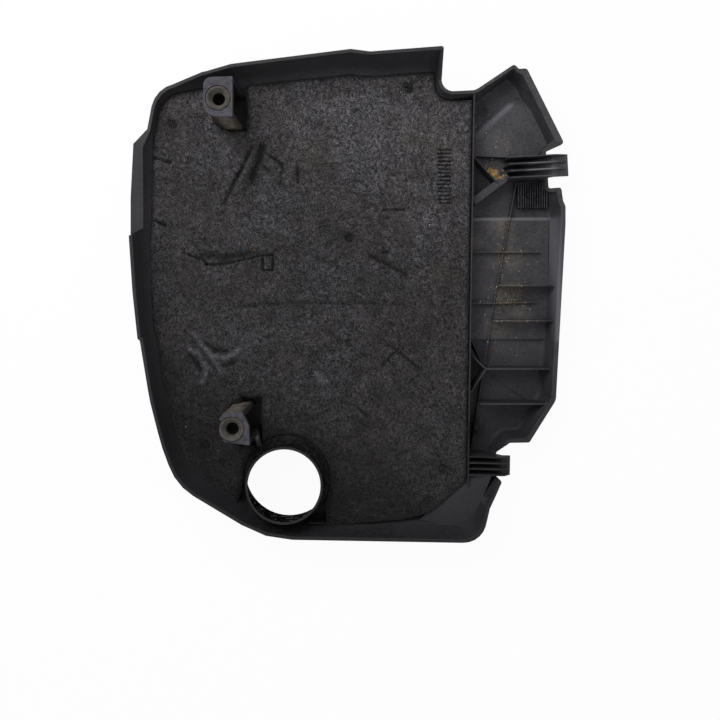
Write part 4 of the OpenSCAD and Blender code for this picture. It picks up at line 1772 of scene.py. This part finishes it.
@dataclass
class FeltFibres:
    """Loose fibres on the felt's free face, thicker on its tufts.

    Attributes:
        name: Name of the piece.
        per_square_cm: Fibres on each square centimetre of the plain face.
        tuft_per_square_cm: How many more there are on a tuft.
        length: Length of a fibre.
        radius: Its radius, coarser than a real one's so that it shows.
        lift: How far its middle is pulled up from the face.
        upright: How much of its normal a face has to point up to hold fibres.
        bends: For each kind of fibre where it starts and how far it bends, as shares of its length.
        smallest: Size of the smallest fibre, as a share of these lengths.
        largest: Size of the largest.
        seed: Seed of their places.
    """

    name: str = "felt_fibres"
    per_square_cm: float = 5.0
    tuft_per_square_cm: float = 70.0
    length: float = 7.0
    radius: float = 0.1
    lift: float = 0.7
    upright: float = 0.4
    bends: tuple[Place, ...] = ((-0.5, 0.34), (-0.5, 0.1), (-0.42, -0.22), (-0.5, 0.55))
    smallest: float = 0.35
    largest: float = 1.25
    seed: int = 23

    def tree(self) -> bpy.types.GeometryNodeTree:
        """Builds the tree that scatters bent fibres.

        Returns:
            A tree with named inputs for density, size and finish.
        """
        numbers = ("Density", "Tuft Density", "Length", "Radius", "Lift")
        tree, given = start_scatter("scatter_fibres", numbers)
        facing = add_node(
            tree, "ShaderNodeSeparateXYZ", {0: add_node(tree, "GeometryNodeInputNormal").outputs[0]}
        ).outputs["Z"]
        up = add_node(
            tree, "FunctionNodeCompare", {0: facing, 1: self.upright}, operation="GREATER_THAN"
        ).outputs[0]
        tufted = add_node(tree, "GeometryNodeInputNamedAttribute", {"Name": "tufted"}, data_type="FLOAT")
        dense = add_node(
            tree, "ShaderNodeMath",
            {0: tufted.outputs[0], 1: given["Tuft Density"], 2: given["Density"]},
            operation="MULTIPLY_ADD",
        ).outputs[0]
        points = add_node(
            tree, "GeometryNodeDistributePointsOnFaces",
            {"Mesh": given["Geometry"], "Selection": up, "Density": dense, "Seed": given["Seed"]},
        ).outputs["Points"]
        variants = add_node(tree, "GeometryNodeJoinGeometry")
        rise = add_node(tree, "ShaderNodeCombineXYZ", {2: given["Lift"]}).outputs[0]
        for begin, bend in self.bends:
            shares = ((begin, -bend / 2, 0.0), (0.08, bend, 0.0), (-begin, -bend / 3, 0.0))
            start, middle, stop = (
                add_node(
                    tree, "ShaderNodeVectorMath", {0: share, 3: given["Length"]}, operation="SCALE"
                ).outputs[0]
                for share in shares
            )
            lifted = add_node(
                tree, "ShaderNodeVectorMath", {0: middle, 1: rise}, operation="ADD"
            ).outputs[0]
            curve = add_node(
                tree, "GeometryNodeCurveQuadraticBezier",
                {"Resolution": 3, "Start": start, "Middle": lifted, "End": stop},
            ).outputs[0]
            circle = add_node(
                tree, "GeometryNodeCurvePrimitiveCircle", {"Resolution": 3, "Radius": given["Radius"]}
            ).outputs[0]
            solid = add_node(
                tree, "GeometryNodeCurveToMesh",
                {"Curve": curve, "Profile Curve": circle, "Fill Caps": True},
            ).outputs[0]
            one = add_node(tree, "GeometryNodeGeometryToInstance", {0: solid}).outputs[0]
            tree.links.new(one, variants.inputs[0])
        kind = add_node(
            tree, "FunctionNodeRandomValue",
            {"Min": 0, "Max": len(self.bends) - 1, "Seed": 5},
            data_type="INT",
        ).outputs[2]
        turn = add_node(
            tree, "FunctionNodeRandomValue",
            {0: (-0.05, -0.05, 0.0), 1: (0.05, 0.05, math.tau), "Seed": 6},
            data_type="FLOAT_VECTOR",
        ).outputs[0]
        size = add_node(
            tree, "FunctionNodeRandomValue",
            {2: self.smallest, 3: self.largest, "Seed": 7},
            data_type="FLOAT",
        ).outputs[1]
        laid = add_node(
            tree, "GeometryNodeInstanceOnPoints",
            {
                "Points": points, "Instance": variants.outputs[0], "Pick Instance": True,
                "Instance Index": kind, "Rotation": turn, "Scale": size,
            },
        ).outputs[0]
        end_scatter(tree, laid, given["Finish"])
        return tree

    def build(self, pad: bpy.types.Object, finish: bpy.types.Material) -> bpy.types.Object:
        """Scatters the fibres over the pad.

        Args:
            pad: The finished felt pad, which isn't changed.
            finish: The fibres' material.

        Returns:
            The fibres as one piece.
        """
        host = new_object("fibre_host", pad.data.copy())
        values = {
            "Density": self.per_square_cm * 1e4,
            "Tuft Density": self.tuft_per_square_cm * 1e4,
            "Length": self.length * MM,
            "Radius": self.radius * MM,
            "Lift": self.lift * MM,
            "Seed": self.seed,
            "Finish": finish,
        }
        piece = scattered(host, self.tree(), values, self.name)
        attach(piece, BODY)
        return piece


@dataclass(frozen=True)
class GritArea:
    """A place where grains gather.

    Attributes:
        path: Corners of a path in millimetres; a single corner is a spot.
        spread: How far the grains stray from it.
        count: How many there are.
    """

    path: tuple[Place, ...]
    spread: float
    count: int


@dataclass
class LooseGrit:
    """Grains of dirt that lie on the shell or the pad.

    Attributes:
        name: Name of the piece.
        areas: Where the grains gather.
        smallest: Radius of the smallest grain in millimetres.
        largest: Radius of the largest grain.
        seed: Seed of their places.
        level: How much of its normal a face has to point up to hold grains.
        lift: How far a grain's middle lies over the face, as a share of the smallest radius.
        drop_from: Height in metres from which they are dropped.
    """

    name: str
    areas: tuple[GritArea, ...]
    smallest: float
    largest: float
    seed: int
    level: float = 0.75
    lift: float = 0.4
    drop_from: float = 0.2

    def tree(self) -> bpy.types.GeometryNodeTree:
        """Builds the tree that puts a grain on each point.

        Returns:
            A tree with named inputs for sizes, seed and finish.
        """
        tree, given = start_scatter(self.name, ("Smallest", "Largest"))
        grain = add_node(
            tree, "GeometryNodeMeshIcoSphere", {"Radius": 1.0, "Subdivisions": 1}
        ).outputs["Mesh"]
        size = add_node(
            tree, "FunctionNodeRandomValue",
            {2: given["Smallest"], 3: given["Largest"], "Seed": given["Seed"]},
            data_type="FLOAT",
        ).outputs[1]
        shape = add_node(
            tree, "FunctionNodeRandomValue",
            {0: (0.7, 0.5, 0.45), 1: (1.5, 1.1, 0.8), "Seed": 3},
            data_type="FLOAT_VECTOR",
        ).outputs[0]
        scale = add_node(tree, "ShaderNodeVectorMath", {0: shape, 3: size}, operation="SCALE").outputs[0]
        turn = add_node(
            tree, "FunctionNodeRandomValue",
            {0: (-0.4, -0.4, 0.0), 1: (0.4, 0.4, math.tau), "Seed": 4},
            data_type="FLOAT_VECTOR",
        ).outputs[0]
        laid = add_node(
            tree, "GeometryNodeInstanceOnPoints",
            {"Points": given["Geometry"], "Instance": grain, "Rotation": turn, "Scale": scale},
        ).outputs[0]
        end_scatter(tree, laid, given["Finish"])
        return tree

    def build(self, grounds: Sequence[BVHTree], finish: bpy.types.Material) -> bpy.types.Object:
        """Drops the grains on the ground.

        Args:
            grounds: The pieces that the grains lie on, the highest at each place.
            finish: The grains' material.

        Returns:
            The grains as one piece.
        """
        rng = np.random.default_rng(self.seed)
        down = Vector((0, 0, -1))
        spots = []
        for area in self.areas:
            corners = np.array(area.path, float)
            for _ in range(area.count):
                k = rng.integers(0, max(1, len(corners) - 1))
                share = rng.random()
                base = corners[k] * (1 - share) + corners[min(k + 1, len(corners) - 1)] * share
                x, y = (base + rng.normal(0, area.spread, 2)) * MM
                rays = [ground.ray_cast(Vector((x, y, self.drop_from)), down) for ground in grounds]
                hit, normal, _, _ = max(rays, key=lambda ray: ray[0].z if ray[0] else 0.0)
                if hit is not None and normal.z > self.level:
                    spots.append(hit + Vector((0, 0, self.smallest * self.lift * MM)))
        mesh = bpy.data.meshes.new(self.name)
        mesh.from_pydata([tuple(s) for s in spots], [], [])
        values = {
            "Smallest": self.smallest * MM,
            "Largest": self.largest * MM,
            "Seed": self.seed,
            "Finish": finish,
        }
        piece = scattered(new_object("grit_host", mesh), self.tree(), values, self.name)
        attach(piece, BODY)
        return piece


@dataclass
class Studio:
    """Camera straight above the cover, soft lamp, white sky and pale floor.

    Attributes:
        camera_height: Height of the camera over the cover's outer face.
        lens: Its focal length in millimetres.
        sensor: Width of its sensor in millimetres.
        shift_y: How far its picture is shifted, as a share of the picture.
        sky: Strength of the sky's light.
        key_watts: Power of the lamp.
        key_width: Side of the lamp.
        key_place: Where the lamp hangs.
        floor_width: Side of the floor.
        floor_z: Height of the floor.
        floor_colour: Colour of the floor where it lights the cover.
        floor_glow: How much of the floor is plain white to look at.
    """

    camera_height: float = 0.670
    lens: float = 31.0
    sensor: float = 36.0
    shift_y: float = -75 / 720
    sky: float = 0.56
    key_watts: float = 8.2
    key_width: float = 0.7
    key_place: tuple[float, float, float] = (-0.52, 0.66, 0.85)
    floor_width: float = 6.0
    floor_z: float = -0.0004
    floor_colour: str = "#f4f4f4"
    floor_glow: float = 0.95

    def camera(self) -> None:
        """Makes the scene's camera."""
        data = bpy.data.cameras.new("camera")
        data.lens = self.lens
        data.sensor_width = self.sensor
        data.shift_y = self.shift_y
        camera = bpy.data.objects.new("camera", data)
        camera.location = (0.0, 0.0, self.camera_height)
        bpy.context.scene.collection.objects.link(camera)
        bpy.context.scene.camera = camera

    def seen(self, tree: bpy.types.NodeTree) -> bpy.types.NodeSocket:
        """Tells the rays that see the background from those that light the cover.

        Args:
            tree: The tree of the world or the floor.

        Returns:
            1 for camera, glossy and transmission rays.
        """
        path = add_node(tree, "ShaderNodeLightPath").outputs
        gloss = add_node(
            tree, "ShaderNodeMath",
            {0: path["Is Glossy Ray"], 1: path["Is Transmission Ray"]},
            operation="MAXIMUM",
        ).outputs[0]
        both = add_node(tree, "ShaderNodeMath", {0: path["Is Camera Ray"], 1: gloss}, operation="MAXIMUM")
        return both.outputs[0]

    def world(self) -> None:
        """Makes the sky: white to look at, and a soft grey light."""
        world = bpy.data.worlds.new("studio")
        world.use_nodes = True
        tree = world.node_tree
        tree.nodes.clear()
        light = add_node(tree, "ShaderNodeBackground", {"Color": (1, 1, 1, 1), "Strength": self.sky})
        white = add_node(tree, "ShaderNodeBackground", {"Color": (1, 1, 1, 1), "Strength": 1.0})
        mixed = add_node(
            tree, "ShaderNodeMixShader", {0: self.seen(tree), 1: light.outputs[0], 2: white.outputs[0]}
        )
        add_node(tree, "ShaderNodeOutputWorld", {"Surface": mixed.outputs[0]})
        bpy.context.scene.world = world

    def lamp(self, name: str, place: Vector, width: float, watts: float) -> None:
        """Adds a square soft lamp that points at the cover.

        Args:
            name: The lamp's name.
            place: Where it hangs, in metres.
            width: Its side in metres.
            watts: Its power.
        """
        data = bpy.data.lights.new(name, "AREA")
        data.size = width
        data.energy = watts
        lamp = bpy.data.objects.new(name, data)
        lamp.location = place
        lamp.rotation_euler = (-place).to_track_quat("-Z", "Y").to_euler()
        bpy.context.scene.collection.objects.link(lamp)

    def floor(self) -> None:
        """Makes the plain white floor."""
        half = self.floor_width / 2
        mesh = bpy.data.meshes.new("floor")
        corners = [(-half, -half), (half, -half), (half, half), (-half, half)]
        mesh.from_pydata([(x, y, self.floor_z) for x, y in corners], [], [(0, 1, 2, 3)])
        material = bpy.data.materials.new("white_paper_floor")
        material.use_nodes = True
        tree = material.node_tree
        tree.nodes.clear()
        paper = add_node(tree, "ShaderNodeBsdfDiffuse", {"Color": linear(self.floor_colour)})
        white = add_node(tree, "ShaderNodeEmission", {"Color": (1, 1, 1, 1), "Strength": 1.0})
        share = add_node(
            tree, "ShaderNodeMath", {0: self.seen(tree), 1: self.floor_glow}, operation="MULTIPLY"
        ).outputs[0]
        mixed = add_node(tree, "ShaderNodeMixShader", {0: share, 1: paper.outputs[0], 2: white.outputs[0]})
        add_node(tree, "ShaderNodeOutputMaterial", {"Surface": mixed.outputs[0]})
        mesh.materials.append(material)
        new_object("floor", mesh)

    def build(self) -> None:
        """Sets up the whole studio."""
        bpy.context.scene.view_settings.view_transform = "Standard"
        self.camera()
        self.world()
        self.lamp("key_softbox", Vector(self.key_place), self.key_width, self.key_watts)
        self.floor()


DRIFT_AREAS = (
    GritArea(((139, 122.5), (149, 113.5)), 1.7, 260),
    GritArea(((136, 126), (147, 116)), 4.0, 90),
)

SAND_AREAS = (
    GritArea(((151, 33), (200, 33)), 1.6, 26),
    GritArea(((147, -3), (175, -3.5)), 2.6, 70),
    GritArea(((148, -18), (176, -21)), 2.4, 70),
    GritArea(((146, -39), (190, -39.5)), 2.0, 50),
    GritArea(((160, 60), (150, 20), (146, -30), (143, -60)), 5.5, 130),
    GritArea(((125, 160), (150, 130), (160, 125)), 10, 50),
    GritArea(((165, 40), (170, -50)), 17, 110),
)

WHITE_AREAS = (
    GritArea(((150, 150), (135, 165)), 14, 14),
    GritArea(((158, 60), (150, 10), (145, -60)), 12, 34),
    GritArea(((175, 30), (175, -110)), 18, 16),
    GritArea(((-22, 208.8),), 0.3, 2),
    GritArea(((-76.2, 108.1),), 0.3, 1),
    GritArea(((65.4, 70.1), (73.1, 61)), 0.6, 2),
    GritArea(((86.8, 44.2),), 0.8, 2),
    GritArea(((-181.3, -146.8),), 0.3, 1),
)

RUST_AREAS = (
    GritArea(((142.9, -69.8), (144, -69)), 0.8, 9),
    GritArea(((-109.4, 35.8),), 0.4, 3),
    GritArea(((150, 100), (150, -60)), 10, 16),
)


def main() -> None:
    """Builds the pieces in order and reports each one."""
    logging.basicConfig(level=logging.INFO, format="%(name)s: %(message)s")
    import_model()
    Studio().build()
    plastic = MouldedPlastic("glass_filled_nylon").build()
    edge = MouldedPlastic("nylon_edge_rubbed", base="#252426", film="#4e4c50").build()
    felt = NeedledFelt("needled_polyester_felt").build()
    fibre = LooseFibre("loose_polyester_fibre").build()
    rubber = StudRubber("press_moulded_rubber").build()
    shell = RoundedCopy("cover_shell", "moulded_shell", Part.SHELL).build([plastic, edge])
    upper = StudGrommet("upper", UPPER_TOWER).build(rubber)
    lower = StudGrommet("lower", LOWER_TOWER).build(rubber)
    rim = SlotRim(UPPER_TOWER).build(plastic)
    pad = AcousticFelt().build(felt)
    pieces = [shell, upper, lower, rim, pad, FeltFibres().build(pad, fibre)]
    bpy.context.view_layer.update()
    depsgraph = bpy.context.evaluated_depsgraph_get()
    grounds = [BVHTree.FromObject(piece, depsgraph) for piece in (shell, pad)]
    for name, areas, finish, small, large, seed in (
        ("drift_grains", DRIFT_AREAS, Grit("orange_sand", "#c6a76c", "#8d7049"), 0.3, 0.75, 30),
        ("sand_grains", SAND_AREAS, Grit("dry_sand", "#8f8168", "#685b48"), 0.28, 0.7, 31),
        ("white_grains", WHITE_AREAS, Grit("pale_quartz", "#c9c5ba", "#8f8b80"), 0.35, 0.8, 32),
        ("rust_flakes", RUST_AREAS, Grit("rust_flake", "#8a6038", "#5d3d24"), 0.4, 0.9, 33),
    ):
        pieces.append(LooseGrit(name, areas, small, large, seed).build(grounds, finish.build()))
    for piece in pieces:
        LOG.info("%s: %d faces", piece.name, len(piece.data.polygons))


if __name__ == "__main__":
    main()
